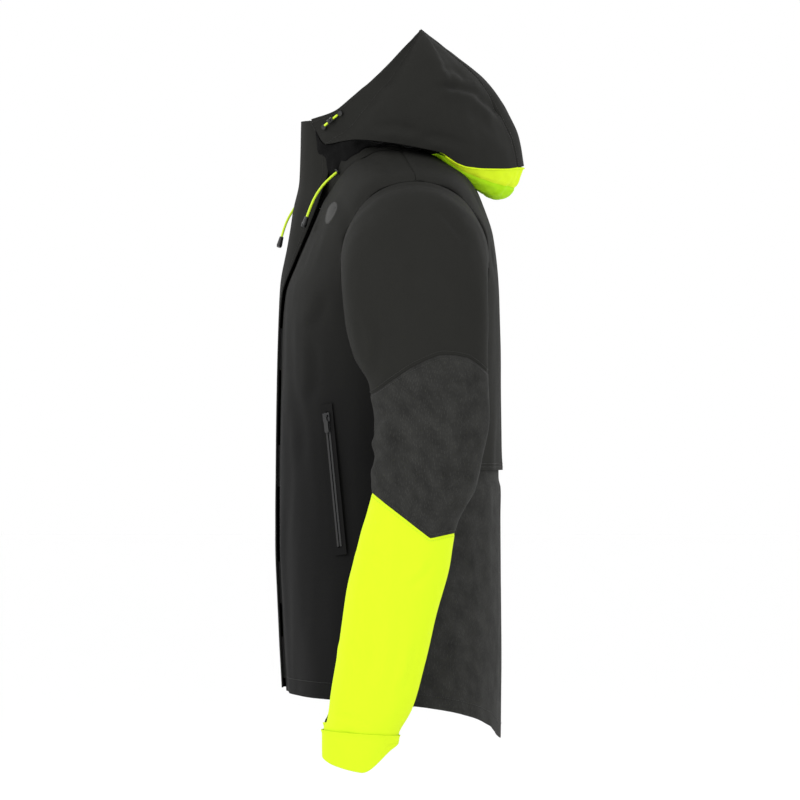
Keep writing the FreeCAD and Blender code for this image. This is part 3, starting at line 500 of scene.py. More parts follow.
def collar(degrees, s):
    """The standing collar: s runs from the neck seam to the top edge."""
    a = math.radians(degrees)
    top = Vector((COLLAR_HALF_W * math.sin(a), COLLAR_Y - COLLAR_HALF_DEPTH * math.cos(a),
                  lerp(COLLAR_TOP, 46, smooth((degrees - 30) / 150))))
    low = torso(degrees, neck_z(degrees))
    low = low - Vector((low.x, low.y + 5, 0)).normalized() * 8 + Vector((0, 0, 1))
    p = low * (1 - s) ** 2 + Vector((top.x, top.y, lerp(low.z, top.z, 0.3))) * (2 * s * (1 - s)) + top * s * s
    if degrees < 90:
        p.y += (zip_y(p.z) + 2.2 - p.y) * smooth((24 - abs(p.x)) / 11)
    return p


def flap(x, z):
    """The flap's outer face: flat over the zip, falling back to the chest at both edges."""
    edge_x, edge_y = (flap_free(z), flap_free_y(z)) if x > 0 else (-FLAP_SEWN_X, flap_sewn_y(z))
    return Vector((x, lerp(flap_y(z), edge_y, (abs(x) / edge_x) ** 2.6), z))


# %% [markdown]
# ## Folds
# Cloth that stands on its own never lies quite even. Long soft waves run down from where it hangs,
# and short creases sit where it is bent or pulled. A crease is a line with a hollow on it and a
# ridge beside it, laid over the piece seen from one side, and it fades out at both ends.


# %% Creases and waves
def crease_depth(p, a, b, width, depth):
    """Height of one crease at p, where p, a and b are pairs of coordinates seen from one side."""
    along = (b[0] - a[0], b[1] - a[1])
    length = math.hypot(*along)
    s = ((p[0] - a[0]) * along[0] + (p[1] - a[1]) * along[1]) / length
    if s < -width or s > length + width:
        return 0.0
    t = ((p[0] - a[0]) * along[1] - (p[1] - a[1]) * along[0]) / length
    t += 0.12 * length * math.sin(math.pi * s / length) * 0.5
    if abs(t) > 5 * width:
        return 0.0
    fade = smooth((s + width) / (0.4 * length)) * smooth((length + width - s) / (0.4 * length))
    bank = 0.75 * math.exp(-((t - 1.7 * width) / (1.4 * width)) ** 2)
    return depth * fade * (bank - math.exp(-(t / width) ** 2))


def wave(p, sizes, seed):
    """Smooth random height at p, -1 to 1, with its own size along each axis."""
    return noise.noise(Vector((p.x / sizes[0] + seed, p.y / sizes[1] - seed, p.z / sizes[2] + 2 * seed)))


SLEEVE_CREASES = [((60, -46), (96, -89), 6, 2.6), ((-20, -160), (-10, -238), 5, 2.6),
                  ((-14, -318), (24, -336), 5, 2.2), ((-14, -352), (18, -362), 5, 2.0),
                  ((-12, -300), (14, -296), 4, 1.4), ((112, -262), (90, -300), 7, 1.6),
                  ((6, -112), (2, -190), 9, 1.6), ((88, -120), (98, -196), 9, 1.5)]
FOREARM_CREASES = [((-30, -452), (2, -474), 5, 1.8), ((58, -470), (28, -500), 6, 1.6),
                   ((-52, -560), (-24, -600), 5, 1.6), ((40, -560), (16, -632), 6, 1.5),
                   ((-16, -480), (-30, -640), 10, 2.0), ((12, -500), (2, -640), 10, 1.6),
                   ((-62, -650), (-20, -664), 4, 1.4)]
HOOD_CREASES = [((58, 101), (118, 90), 5, 4.6), ((110, 88), (136, 66), 5, 4.0),
                ((-29, 104), (24, 104), 7, 2.0), ((-16, 52), (42, 44), 6, 2.4),
                ((47, 40), (98, 28), 6, 2.4), ((-72, 50), (-48, 44), 4, 1.6),
                ((70, 124), (96, 112), 5, 2.0)]
SHOULDER_CREASES = [((-37, 17), (5, 6), 5, 1.4), ((-30, 8), (10, -6), 6, 1.2),
                    ((-60, -30), (-40, -78), 8, 1.8)]
FRONT_CREASES = [((-89, -200), (-89, -282), 6, 1.8), ((-110, -256), (-103, -362), 7, 1.8),
                 ((-70, -150), (-88, -190), 7, 1.6)]


def creases(p, lines):
    """All the creases of a list at p, seen from the side."""
    return sum(crease_depth((p.y, p.z), *line) for line in lines)


def sleeve_folds(p, seed):
    long_waves = 1.7 * wave(p, (34, 30, 150), seed) + 0.6 * wave(p, (16, 15, 60), seed + 3)
    bend = smooth((p.z + 430) / 90) * smooth((-230 - p.z) / 90)
    front = smooth((35 - p.y) / 40)
    ruck = 1.5 * bend * front * math.sin(p.z / 7.5 + 2.5 * wave(p, (40, 40, 40), seed + 5))
    return long_waves + ruck + creases(p, SLEEVE_CREASES) + creases(p, FOREARM_CREASES)


POCKET_TOP = (-68, -290)
POCKET_LOW = (-52, -452)


def calm(p):
    """0 where hardware lies on the cloth, such as the pocket and front zips, and 1 away from it."""
    t = max(0.0, min(1.0, (POCKET_TOP[1] - p.z) / (POCKET_TOP[1] - POCKET_LOW[1])))
    past_end = max(0, p.z - POCKET_TOP[1] - 10, POCKET_LOW[1] - 10 - p.z)
    off_pocket = math.hypot(p.y - lerp(POCKET_TOP[0], POCKET_LOW[0], t), past_end)
    near_pocket = smooth((off_pocket - 11) / 14) if abs(p.x) > 120 and p.y < 0 else 1.0
    return near_pocket * smooth((abs(p.x) - 34) / 20) if p.y < 0 else near_pocket


SEAM_CALM = 28


def torso_folds(p, seed):
    """The folds of fronts, yoke and lower back, which fade out at the side seams so that these meet."""
    hang = smooth((-120 - p.z) / 250)
    waves = (1.0 + 2.2 * hang) * wave(p, (42, 38, 210), seed) + 0.7 * wave(p, (20, 20, 70), seed + 2)
    pulls = creases(p, SHOULDER_CREASES if p.z > -100 else FRONT_CREASES) if p.y < 20 else 0.0
    tug = 0.0
    if abs(p.x) > 120:
        armhole = math.hypot(p.y - ARM_Y, p.z - ARM_Z) - ARM_R
        round_it = math.atan2(p.z - ARM_Z, p.y - ARM_Y)
        tug = 1.2 * math.exp(-(armhole / 30) ** 2) * math.sin(round_it * 9 + seed)
    off_seam = smooth(abs(p.y - torso(SIDE_SEAM, p.z).y) / SEAM_CALM)
    return calm(p) * ((waves + tug) * off_seam + pulls)


def hood_folds(p, seed):
    waves = 1.5 * wave(p, (40, 34, 40), seed) + 0.5 * wave(p, (14, 14, 14), seed + 4)
    return waves + creases(p, HOOD_CREASES)


# %% [markdown]
# ## Pattern pieces
# One function cuts every piece: it lays a grid on a surface, lifts it by the folds, rolls chosen
# edges under by about a millimetre as a seam does, writes the UV map in metres and gives the cloth
# its thickness. The same sizes give each sheet's flat size.

# %% Cutting a piece
pieces = {}
ROLL_WIDTH, FAR = 2.4, 99.0
EDGE_STEPS = (0.0, 0.9, 2.0, 3.4)


def with_edges(low, high, n, length):
    """n even values from low to high, with a few more close to each end, where the cloth rolls under."""
    near = [s / length for s in EDGE_STEPS]
    middle = span(near[-1] + 1.0 / n, 1 - near[-1] - 1.0 / n, n)
    return [lerp(low, high, t) for t in near + middle + [1 - t for t in reversed(near)]]


def grid_normals(grid, outward):
    """The unit normal at each grid point, all turned to the side that outward gives."""
    nu, nv = len(grid), len(grid[0])
    normals = []
    for i in range(nu):
        row = []
        for j in range(nv):
            du = grid[min(i + 1, nu - 1)][j] - grid[max(i - 1, 0)][j]
            dv = grid[i][min(j + 1, nv - 1)] - grid[i][max(j - 1, 0)]
            row.append(du.cross(dv).normalized())
        normals.append(row)
    i, j = nu // 2, nv // 2
    flip = normals[i][j].dot(outward(grid[i][j])) < 0
    if flip:
        normals = [[-n for n in row] for row in normals]
    return normals, flip


def running_lengths(grid):
    """Distances along both ways of the grid at each point, from its first row and first column."""
    nu, nv = len(grid), len(grid[0])
    across = [[0.0] * nv for _ in range(nu)]
    along = [[0.0] * nv for _ in range(nu)]
    for i in range(nu):
        for j in range(nv):
            if i:
                across[i][j] = across[i - 1][j] + (grid[i][j] - grid[i - 1][j]).length
            if j:
                along[i][j] = along[i][j - 1] + (grid[i][j] - grid[i][j - 1]).length
    return across, along


def cut_piece(name, grid, outward, folds, material, thick=0.9, rolled="lrbt", keep=None, mirror=False,
              depth=1.1):
    """Makes the cloth. rolled names the edges that go under: l, r the first and last u, b, t the v ends."""
    normals, flip = grid_normals(grid, outward)
    across, along = running_lengths(grid)
    nu, nv = len(grid), len(grid[0])
    points, uvs = [], []
    for i in range(nu):
        for j in range(nv):
            edges = {"l": across[i][j], "r": across[-1][j] - across[i][j],
                     "b": along[i][j], "t": along[i][-1] - along[i][j]}
            nearest = min([edges[e] for e in rolled], default=FAR)
            lift = folds(grid[i][j]) if folds else 0.0
            lift -= depth * math.exp(-(nearest / ROLL_WIDTH) ** 2)
            points.append(grid[i][j] + normals[i][j] * lift)
            uvs.append((across[i][j] * MM, along[i][j] * MM))
    faces = []
    for i in range(nu - 1):
        for j in range(nv - 1):
            quad = [i * nv + j, (i + 1) * nv + j, (i + 1) * nv + j + 1, i * nv + j + 1]
            if keep is None or any(keep(grid[q // nv][q % nv]) for q in quad):
                faces.append(quad[::-1] if flip != mirror else quad)
    if keep:
        points = settle_on_armhole(points, grid, nv, faces)
        for q, p in enumerate(points):
            p.z += shoulder_lift(grid[q // nv][q % nv])
    side = -1 if mirror else 1
    mesh = bpy.data.meshes.new(name)
    mesh.from_pydata([(side * p.x * MM, p.y * MM, p.z * MM) for p in points], [], faces)
    layer = mesh.uv_layers.new(name="cloth")
    for loop in mesh.loops:
        layer.data[loop.index].uv = uvs[loop.vertex_index]
    mesh.polygons.foreach_set("use_smooth", [True] * len(mesh.polygons))
    mesh.materials.append(material)
    piece = bpy.data.objects.new(name, mesh)
    scene.collection.objects.link(piece)
    remove_loose(piece)
    area = sum(f.area for f in mesh.polygons)
    width = max(max(row) for row in across) * MM
    length = max(max(row) for row in along) * MM
    solid = piece.modifiers.new("cloth_thickness", "SOLIDIFY")
    solid.thickness, solid.offset = thick * MM, -1
    settle(piece)
    lifted = [[points[i * nv + j] + 0.3 * normals[i][j] for j in range(nv)] for i in range(nu)]
    lifted = [[Vector((side * p.x, p.y, p.z)) for p in row] for row in lifted]
    pieces[name] = {"object": piece, "flat": (width, length), "area": area, "grid": lifted}
    return piece


def remove_loose(piece):
    mesh = bmesh.new()
    mesh.from_mesh(piece.data)
    bmesh.ops.delete(mesh, geom=[v for v in mesh.verts if not v.link_faces], context="VERTS")
    mesh.to_mesh(piece.data)
    mesh.free()


def settle(piece):
    """Applies every modifier, so that the mesh itself is the result."""
    graph = bpy.context.evaluated_depsgraph_get()
    done = bpy.data.meshes.new_from_object(piece.evaluated_get(graph))
    piece.modifiers.clear()
    piece.data = done


def settle_on_armhole(points, grid, nv, faces):
    """Points of kept faces that are inside the armhole move out onto its circle."""
    used = {q for face in faces for q in face}
    for q in used:
        p = grid[q // nv][q % nv]
        if in_armhole(p):
            reach = math.hypot(p.y - ARM_Y, p.z - ARM_Z)
            y = ARM_Y + (p.y - ARM_Y) * ARM_R / reach
            z = ARM_Z + (p.z - ARM_Z) * ARM_R / reach
            points[q] = Vector((math.copysign(surface_x(y, z), p.x), y, z))
    return points


def shoulder_lift(p):
    """Fills the hollow where the slope of the shoulder meets the top of the sleeve."""
    away = max(0.0, math.hypot(p.y - ARM_Y, p.z - ARM_Z) - ARM_R)
    top = smooth(((p.z - ARM_Z) / ARM_R - 0.35) / 0.5)
    return 5.5 * top * math.exp(-(away / 20) ** 2) if abs(p.x) > 90 else 0.0


def in_armhole(p):
    return abs(p.x) > 90 and math.hypot(p.y - ARM_Y, p.z - ARM_Z) < ARM_R


def outside_armhole(p):
    return not in_armhole(p)


def sew(name, nodes, body=None, bend=None):
    """Records in pieces what a finished piece rides on or bends between, parents it to that body or bakes it
    in place, and hides the frame's nodes it stands for.
    """
    made = pieces[name]
    piece = made["object"]
    made["moves"] = bend or body
    if bend:
        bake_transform(piece)
    else:
        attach(piece, body)
    if nodes:
        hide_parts(*nodes)


SIDES = (("left", False, 1.7), ("right", True, 8.3))

# %% [markdown]
# ## Body of the jacket
# Two fronts run from the zip to the side seams. The yoke laps over the reflective lower back, so its
# free edge hangs proud with a shadow under it. The grids are finest at the neck, where it curves most.

# %% Fronts, yoke and lower back
def panel_column(u, low_z, rows, length):
    """Points of the torso from a height up to the neck, closer together towards the neck."""
    top_z = neck_z(round_angle(u))
    return [torso(u, lerp(low_z, top_z, 1 - (1 - t) ** 1.15)) for t in with_edges(0, 1, rows, length)]


for side, mirror, seed in SIDES:
    us = with_edges(CENTRE_EDGE, SIDE_SEAM, 76, 250)
    grid = [panel_column(u, hem_z(u), 190, 600) for u in us]
    cut_piece(f"front_{side}", grid, out_of_torso, lambda p: torso_folds(p, seed), front_shell_painted_shade, rolled="rt",
              keep=outside_armhole, mirror=mirror)
    stands_for = [f"front_panel_{side}"] + (["hem_facing"] if side == "left" else [])
    sew(f"front_{side}", stands_for, body="shell")

back_angles = with_edges(SIDE_SEAM, 360 - SIDE_SEAM, 130, 600)
grid = [panel_column(u, YOKE_BOTTOM_Z, 110, 370) for u in back_angles]
for row in grid:
    for j, p in enumerate(row):
        row[j] = p + out_of_torso(p).normalized() * (0.6 + 1.0 * math.exp(-((p.z - YOKE_BOTTOM_Z) / 14) ** 2))
cut_piece("yoke", grid, out_of_torso, lambda p: torso_folds(p, 4.4), black_shell, rolled="lrt",
          keep=outside_armhole, thick=1.1)
sew("yoke", ["back_yoke"], body="shell")


def tucked(u, z):
    """The lower back goes in behind the yoke's edge."""
    p = torso(u, z)
    return p - out_of_torso(p).normalized() * 1.9 * smooth((z - YOKE_BOTTOM_Z + 22) / 12)


grid = [[tucked(u, z) for z in with_edges(hem_z(round_angle(u)), BACK_TOP_Z, 96, 330)] for u in back_angles]
cut_piece("lower_back", grid, out_of_torso,
          lambda p: torso_folds(p, 4.4) * smooth((YOKE_BOTTOM_Z - 6 - p.z) / 30), reflective, rolled="lr")
sew("lower_back", ["lower_back_panel"], body="shell")
print("body panels", [name for name in pieces])

# %% [markdown]
# ## Sleeves
# Each sleeve has an outer side of four pieces and one long under-sleeve. The shoulder seam is a
# circle in an upright plane, so the whole sleeve swings round it without tearing. The pieces that
# cross the elbow are baked in place; the upper arm, the forearm and the elbow's two points are only noted
# beside them.


# %% Armhole bands and sleeve pieces
def armhole_band(a, s):
    y = ARM_Y + (ARM_R - 0.2) * math.cos(math.radians(a))
    z = ARM_Z + (ARM_R - 0.2) * math.sin(math.radians(a))
    x = surface_x(y, z) - 0.5
    return Vector((lerp(x, ARM_PLANE_X + 0.6, s), y, z + shoulder_lift(Vector((x, y, z))) * (1 - smooth(s))))


def sleeve_strip(us, v_span, rows, length):
    grid = []
    for u in us:
        low, high = v_span(u)
        grid.append([sleeve(u, k) for k in with_edges(high, low, rows, length)])
    return grid


outer = with_edges(SLEEVE_FRONT_SEAM, SLEEVE_BACK_SEAM, 66, 230)
under = with_edges(SLEEVE_BACK_SEAM, 360 + SLEEVE_FRONT_SEAM, 54, 190)
elbow_start, elbow_end = Vector((0, 0.006, -0.288)), Vector((0, 0.024, -0.372))
yoke_ring = {u: ring_where(u, yoke_seam) for u in outer}
chevron_ring = {u: ring_where(u, chevron) for u in outer}
SHOULDER_START = -0.04
for side, mirror, seed in SIDES:
    arm, fore = f"sleeve_{side}", f"forearm_{side}"
    elbow = (arm, fore, elbow_start, elbow_end)

    def folds(p, seed=seed):
        settle_in = smooth((p.x - 214) / 16)
        return sleeve_folds(p, seed) * settle_in
    grid = [[armhole_band(a, s) for s in span(0, 1, 7)] for a in span(0, 360, 97)]
    cut_piece(f"shoulder_{side}", grid, lambda p: Vector((0, p.y - ARM_Y, p.z - ARM_Z)), None, black_shell,
              rolled="b", mirror=mirror, depth=0.3)
    sew(f"shoulder_{side}", [f"armhole_band_{side}"], body="shell")
    grid = sleeve_strip(outer, lambda u: (SHOULDER_START, yoke_ring[u]), 70, 250)
    cut_piece(f"sleeve_top_{side}", grid, out_of_sleeve, folds, black_shell, rolled="lrb", mirror=mirror)
    sew(f"sleeve_top_{side}", [f"upper_sleeve_{side}"], body=arm)
    grid = sleeve_strip(outer, lambda u: (yoke_ring[u], chevron_ring[u]), 56, 190)
    cut_piece(f"elbow_{side}", grid, out_of_sleeve, folds, reflective, mirror=mirror)
    stands_for = [f"elbow_panel_upper_{side}", f"elbow_panel_lower_{side}"]
    sew(f"elbow_{side}", stands_for, bend=elbow)
    grid = sleeve_strip(outer, lambda u: (chevron_ring[u], CUFF_RING), 76, 270)
    cut_piece(f"forearm_{side}_cloth", grid, out_of_sleeve, folds, hi_vis, mirror=mirror)
    sew(f"forearm_{side}_cloth", [f"forearm_panel_{side}"], body=fore)
    grid = sleeve_strip(under, lambda u: (SHOULDER_START, CUFF_RING), 150, 600)
    cut_piece(f"under_sleeve_{side}", grid, out_of_sleeve, folds, black_shell, rolled="lrb", mirror=mirror)
    stands_for = [f"under_sleeve_upper_{side}", f"under_sleeve_lower_{side}"]
    sew(f"under_sleeve_{side}", stands_for, bend=elbow)
    rings = with_edges(len(SLEEVE_RINGS) - 1.0, CUFF_RING - CUFF_LAP, 12, 40)
    grid = [[sleeve(a, k) for k in rings] for a in span(-4, 356, 91)]
    cut_piece(f"cuff_{side}_cloth", grid, out_of_sleeve, lambda p: 0.5 * wave(p, (12, 12, 20), seed) + 0.2,
              hi_vis, rolled="t", mirror=mirror, thick=1.2)
    sew(f"cuff_{side}_cloth", [f"cuff_{side}"], body=fore)
print("sleeve pieces", len(pieces))

# %% [markdown]
# ## Hood, collar and storm flap
# The hood's lower edge stays with the jacket while its upper part swings back; its pieces are baked in place,
# with the shell, the hood and the height between only noted beside them. Behind the neck a hi-vis gutter
# joins it to the yoke.

# %% Hood pieces
hood_turn = Vector((0, 0.22, 0.975))
hood_bend = ("shell", "hood", hood_turn * 0.042, hood_turn * 0.135)
for side, mirror, seed in SIDES:
    grid = [[hood(u, t) for t in with_edges(0.001, 0.992, 84, 190)] for u in with_edges(0, 1, 84, 240)]
    cut_piece(f"hood_{side}", grid, out_of_hood, lambda p: hood_folds(p, seed), black_shell, rolled="r",
              mirror=mirror)
    stands_for = [f"hood_side_{side}"] + (["rim_tunnel"] if side == "left" else [])
    sew(f"hood_{side}", stands_for, bend=hood_bend)
    # the facing inside the rim, painted dark for the shade inside the hood
    grid = []
    for u in span(0.0, 0.11, 9):
        row = []
        for t in span(0.004, 0.985, 84):
            p = hood(u, t)
            row.append(p - out_of_hood(p).normalized() * (0.6 + 1.4 * smooth(u / 0.02)))
        grid.append(row)
    cut_piece(f"rim_facing_{side}", grid, out_of_hood, lambda p: hood_folds(p, seed), lining_painted_shade, rolled="",
              mirror=mirror, thick=0.6)
    sew(f"rim_facing_{side}", [], bend=hood_bend)
grid = [[hood_strip(s, t) for t in with_edges(0.0, 1.0, 84, 190)] for s in with_edges(-1.06, 1.06, 24, 60)]
cut_piece("hood_strip", grid, lambda p: Vector((0, 1, 0.6)), lambda p: 0.7 * wave(p, (18, 18, 30), 6.1),
          black_shell, rolled="")
sew("hood_strip", ["hood_centre_strip"], bend=hood_bend)


# %% Hi-vis gutter behind the neck
gutter_side = [p for p in HOOD_EDGE if p[1] > 60]
gutter_top = path_3d([(-x, y, z) for x, y, z in gutter_side] + [(0, 167, 3)] + gutter_side[::-1])


def gutter(s, v):
    """From the hood's lower back edge (v = 0), down and forward to the neck seam (v = 1)."""
    top = gutter_top((1 + s) / 2)
    full = max(0.0, math.cos(math.pi / 2 * s)) ** 1.1
    angle = 180 - 66 * s
    seam = torso(angle, neck_z(round_angle(angle)) - 3)
    seam = seam + Vector((seam.x, seam.y - 8, 0)).normalized() * 4
    start = top + Vector((0, 0, 0.5))
    control = (start + seam) * 0.5 + Vector((0, 12 * full, 0))
    control.z = lerp(min(start.z, seam.z) + 3, -74, full)
    return start * ((1 - v) ** 2) + control * (2 * v * (1 - v)) + seam * (v * v)


def gutter_folds(p):
    return 1.8 * wave(p, (14, 18, 26), 2.2) + 0.7 * wave(p, (7, 7, 9), 5.0)


GUTTER_SPLIT = 0.2
# the lower part, inside the gutter, takes the darker hi-vis copy with painted shade
for name, low, high, rows, length, seam, stands_for, finish in (
        ("gutter_band", 0.0, GUTTER_SPLIT, 10, 30, "t", ["hood_gusset"], hi_vis),
        ("gutter_lining", GUTTER_SPLIT, 1.0, 30, 90, "b", [], hi_vis_painted_shade)):
    steps = with_edges(low, high, rows, length)
    grid = [[gutter(s, v) for v in steps] for s in span(-0.99, 0.99, 121)]
    cut_piece(name, grid, lambda p: Vector((0, 40, -60)), gutter_folds, finish, rolled=seam, thick=0.7)
    sew(name, stands_for, body="shell")


# %% Collar, hood underside and storm flap
def underside(u, s):
    """Cloth that falls from the hood's lower edge to the collar; its dark colour is painted shade under the
    hood.
    """
    edge = edge_path(u) + Vector((-2.0, 0, -0.5))
    angle = lerp(24, 128, u / 0.66)
    root = collar(angle, 0.18)
    middle = (edge + root) * 0.5 + Vector((0, 0, 3))
    return edge * ((1 - s) ** 2) + middle * (2 * s * (1 - s)) + root * (s * s)


def collar_folds(p, seed):
    return 0.8 * wave(p, (20, 20, 26), seed) * smooth((abs(p.x) - 16) / 14)


def underside_folds(p, seed):
    return 2.4 * wave(p, (9, 11, 12), seed + 1) + 1.4 * math.sin(p.y / 5.5 + p.z / 9)


collar_angles = [7, 9, 11, 13, 15, 17.5, 20, 23] + span(26, 180, 60)
for side, mirror, seed in SIDES:
    grid = [[collar(a, s) for s in with_edges(0, 1, 30, 80)] for a in collar_angles]
    cut_piece(f"collar_{side}_cloth", grid, lambda p: Vector((p.x, p.y - COLLAR_Y, 0)),
              lambda p: collar_folds(p, seed), black_shell, rolled="b", mirror=mirror, thick=1.8)
    sew(f"collar_{side}_cloth", [f"collar_{side}"], body="shell")
    grid = [[underside(u, s) for s in span(0, 1, 26)] for u in span(0.04, 0.66, 90)]
    cut_piece(f"hood_underside_{side}", grid, lambda p: Vector((1, -0.4, -0.4)),
              lambda p: underside_folds(p, seed), lining_painted_shade, rolled="", mirror=mirror, thick=0.7)
    sew(f"hood_underside_{side}", [], body="shell")
def flap_folds(p):
    at_throat = smooth((60 - abs(p.z + 20)) / 30)
    return 0.9 * wave(p, (22, 22, 90), 3.3) * at_throat + 0.35 * wave(p, (12, 12, 60), 9.1)


def flap_point(s, z):
    return flap(lerp(FLAP_SEWN_X, flap_free(z), s), z + 2.5 * s * smooth((z - 30) / 27))


flap_grid = [[flap_point(s, z) for z in with_edges(-621, 57, 230, 690)] for s in with_edges(0, 1, 22, 70)]
cut_piece("storm_flap_cloth", flap_grid, lambda p: Vector((0, -1, 0)), flap_folds, front_shell_painted_shade, rolled="l",
          thick=1.5)
flap_bend = ("shell", "storm_flap", Vector((-0.034, 0, 0)), Vector((-0.016, 0, 0)))
sew("storm_flap_cloth", ["storm_flap"], bend=flap_bend)


def chest_y(x, z):
    """Depth of the chest, or above it of the collar, behind the flap's sewn edge."""
    low, high = 0.0, 60.0
    height = min(z, -46)
    for _ in range(30):
        middle = (low + high) / 2
        if torso(middle, height).x < x:
            low = middle
        else:
            high = middle
    return lerp(torso(low, height).y, -80, max(0.0, (z - height) / 100))


def flap_turning(s, z):
    """The strip that turns back from the flap's sewn edge to the chest and closes that side."""
    back = chest_y(-FLAP_SEWN_X + 5, z) - 0.6
    return Vector((FLAP_SEWN_X - 0.2 - 6 * s * s, lerp(flap_sewn_y(z) + 0.6, back, s), z))


grid = [[flap_turning(s, z) for z in span(-621, 56, 200)] for s in span(0, 1, 10)]
cut_piece("flap_turning", grid, lambda p: Vector((-1, -0.3, 0)), lambda p: 0.5 * wave(p, (12, 12, 50), 7.7),
          front_shell_painted_shade, rolled="", thick=0.8)
sew("flap_turning", [], body="shell")

# %% [markdown]
# ## Chest patch
# A plain oval rubber patch with a raised rim is pressed on the left chest. It follows the cloth under
# it, so its points are the chest's own, lifted by the same folds. No mark is drawn on it.

# %% Plain oval patch
PATCH_ANGLE, PATCH_Z, PATCH_HALF_W, PATCH_HALF_H = 58.5, -51.5, 16.5, 14.0
patch_step = (torso(PATCH_ANGLE + 1, PATCH_Z) - torso(PATCH_ANGLE, PATCH_Z)).length


def patch_point(a, r):
    u = PATCH_ANGLE + r * PATCH_HALF_W * math.cos(a) / patch_step
    z = PATCH_Z + r * PATCH_HALF_H * math.sin(a) * (1.08 if math.sin(a) < 0 else 0.95)
    p = torso(u, z)
    n = (torso(u + 0.2, z) - p).cross(torso(u, z + 0.5) - p).normalized()
    n = -n if n.dot(out_of_torso(p)) < 0 else n
    height = 0.5 + 0.5 * math.exp(-((r - 0.86) / 0.07) ** 2) - 1.3 * smooth((r - 0.94) / 0.06)
    return p + n * (torso_folds(p, SIDES[0][2]) + height)


grid = [[patch_point(a, r) for r in span(0.02, 1, 26)] for a in span(0, 2 * math.pi, 73)]
cut_piece("oval_patch", grid, out_of_torso, None, badge_film, rolled="", thick=0.5)
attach(pieces["oval_patch"]["object"], "shell")
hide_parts("chest_badge")

# %% [markdown]
# ## Stitches and zip coils
# Both are one small shape repeated along a line: a bead of thread every 3 mm, or a turn of nylon
# every 1.6 mm. Geometry Nodes turn the line into a curve, space points along it and put the shape on
# each. The lines are rows of the cut pieces' own grids, so the stitches lie on every fold.


# %% The repeating tree
def bead_tree():
    """Puts an oval bead at even steps along a line, turned so that its third axis follows Across."""
    tree = bpy.data.node_groups.new("beads_on_line", "GeometryNodeTree")
    sockets = {}
    for name, kind in (("Geometry", "NodeSocketGeometry"), ("Pitch", "NodeSocketFloat"),
                       ("Bead size", "NodeSocketVector"), ("Across", "NodeSocketVector"),
                       ("Finish", "NodeSocketMaterial")):
        sockets[name] = tree.interface.new_socket(name, in_out="INPUT", socket_type=kind).identifier
    tree.interface.new_socket("Geometry", in_out="OUTPUT", socket_type="NodeSocketGeometry")
    given = tree.nodes.new("NodeGroupInput").outputs
    line = add(tree, "GeometryNodeMeshToCurve", Mesh=given["Geometry"]).outputs[0]
    even = add(tree, "GeometryNodeResampleCurve", {"mode": "LENGTH"}, Curve=line,
               Length=given["Pitch"]).outputs[0]
    along = add(tree, "GeometryNodeInputTangent").outputs[0]
    turn = add(tree, "FunctionNodeAlignRotationToVector", {"axis": "X"}, Vector=along).outputs[0]
    turn = add(tree, "FunctionNodeAlignRotationToVector", {"axis": "Z", "pivot_axis": "X"}, Rotation=turn,
               Vector=given["Across"]).outputs[0]
    bead = add(tree, "GeometryNodeMeshIcoSphere", Radius=1.0, Subdivisions=1).outputs[0]
    placed = add(tree, "GeometryNodeInstanceOnPoints", Points=even, Instance=bead, Rotation=turn,
                 Scale=given["Bead size"]).outputs[0]
    solid = add(tree, "GeometryNodeRealizeInstances", Geometry=placed).outputs[0]
    done = add(tree, "GeometryNodeSetMaterial", Geometry=solid, Material=given["Finish"]).outputs[0]
    tree.links.new(done, tree.nodes.new("NodeGroupOutput").inputs[0])
    return tree, sockets


beads, bead_socket = bead_tree()


def bead_row(name, lines, pitch, size, across, finish):
    """One mesh of beads on all the lines, each a list of points in millimetres."""
    points, edges = [], []
    for line in lines:
        edges += [(len(points) + i, len(points) + i + 1) for i in range(len(line) - 1)]
        points += [tuple(p * MM) for p in line]
    mesh = bpy.data.meshes.new(name)
    mesh.from_pydata(points, edges, [])
    row = bpy.data.objects.new(name, mesh)
    scene.collection.objects.link(row)
    stitching = row.modifiers.new("beads", "NODES")
    stitching.node_group = beads
    stitching[bead_socket["Pitch"]] = pitch * MM
    stitching[bead_socket["Bead size"]] = [v * MM for v in size]
    stitching[bead_socket["Across"]] = across
    stitching[bead_socket["Finish"]] = finish
    settle(row)
    if not row.data.materials:
        row.data.materials.append(finish)
    row.data.polygons.foreach_set("use_smooth", [True] * len(row.data.polygons))
    return row


# %% Topstitching
STITCH_PITCH, STITCH_SIZE = 3.0, (1.05, 0.26, 0.26)


def grid_row(name, way, index):
    """A line of a piece's grid: way u runs across it at row index, way v runs along it at column index."""
    grid = pieces[name]["grid"]
    line = [column[index] for column in grid] if way == "u" else list(grid[index])
    clear = [p for p in line if not (abs(p.x) > 90 and math.hypot(p.y - ARM_Y, p.z - ARM_Z) < ARM_R + 6)]
    return line if name.split("_")[0] not in ("front", "yoke") else clear


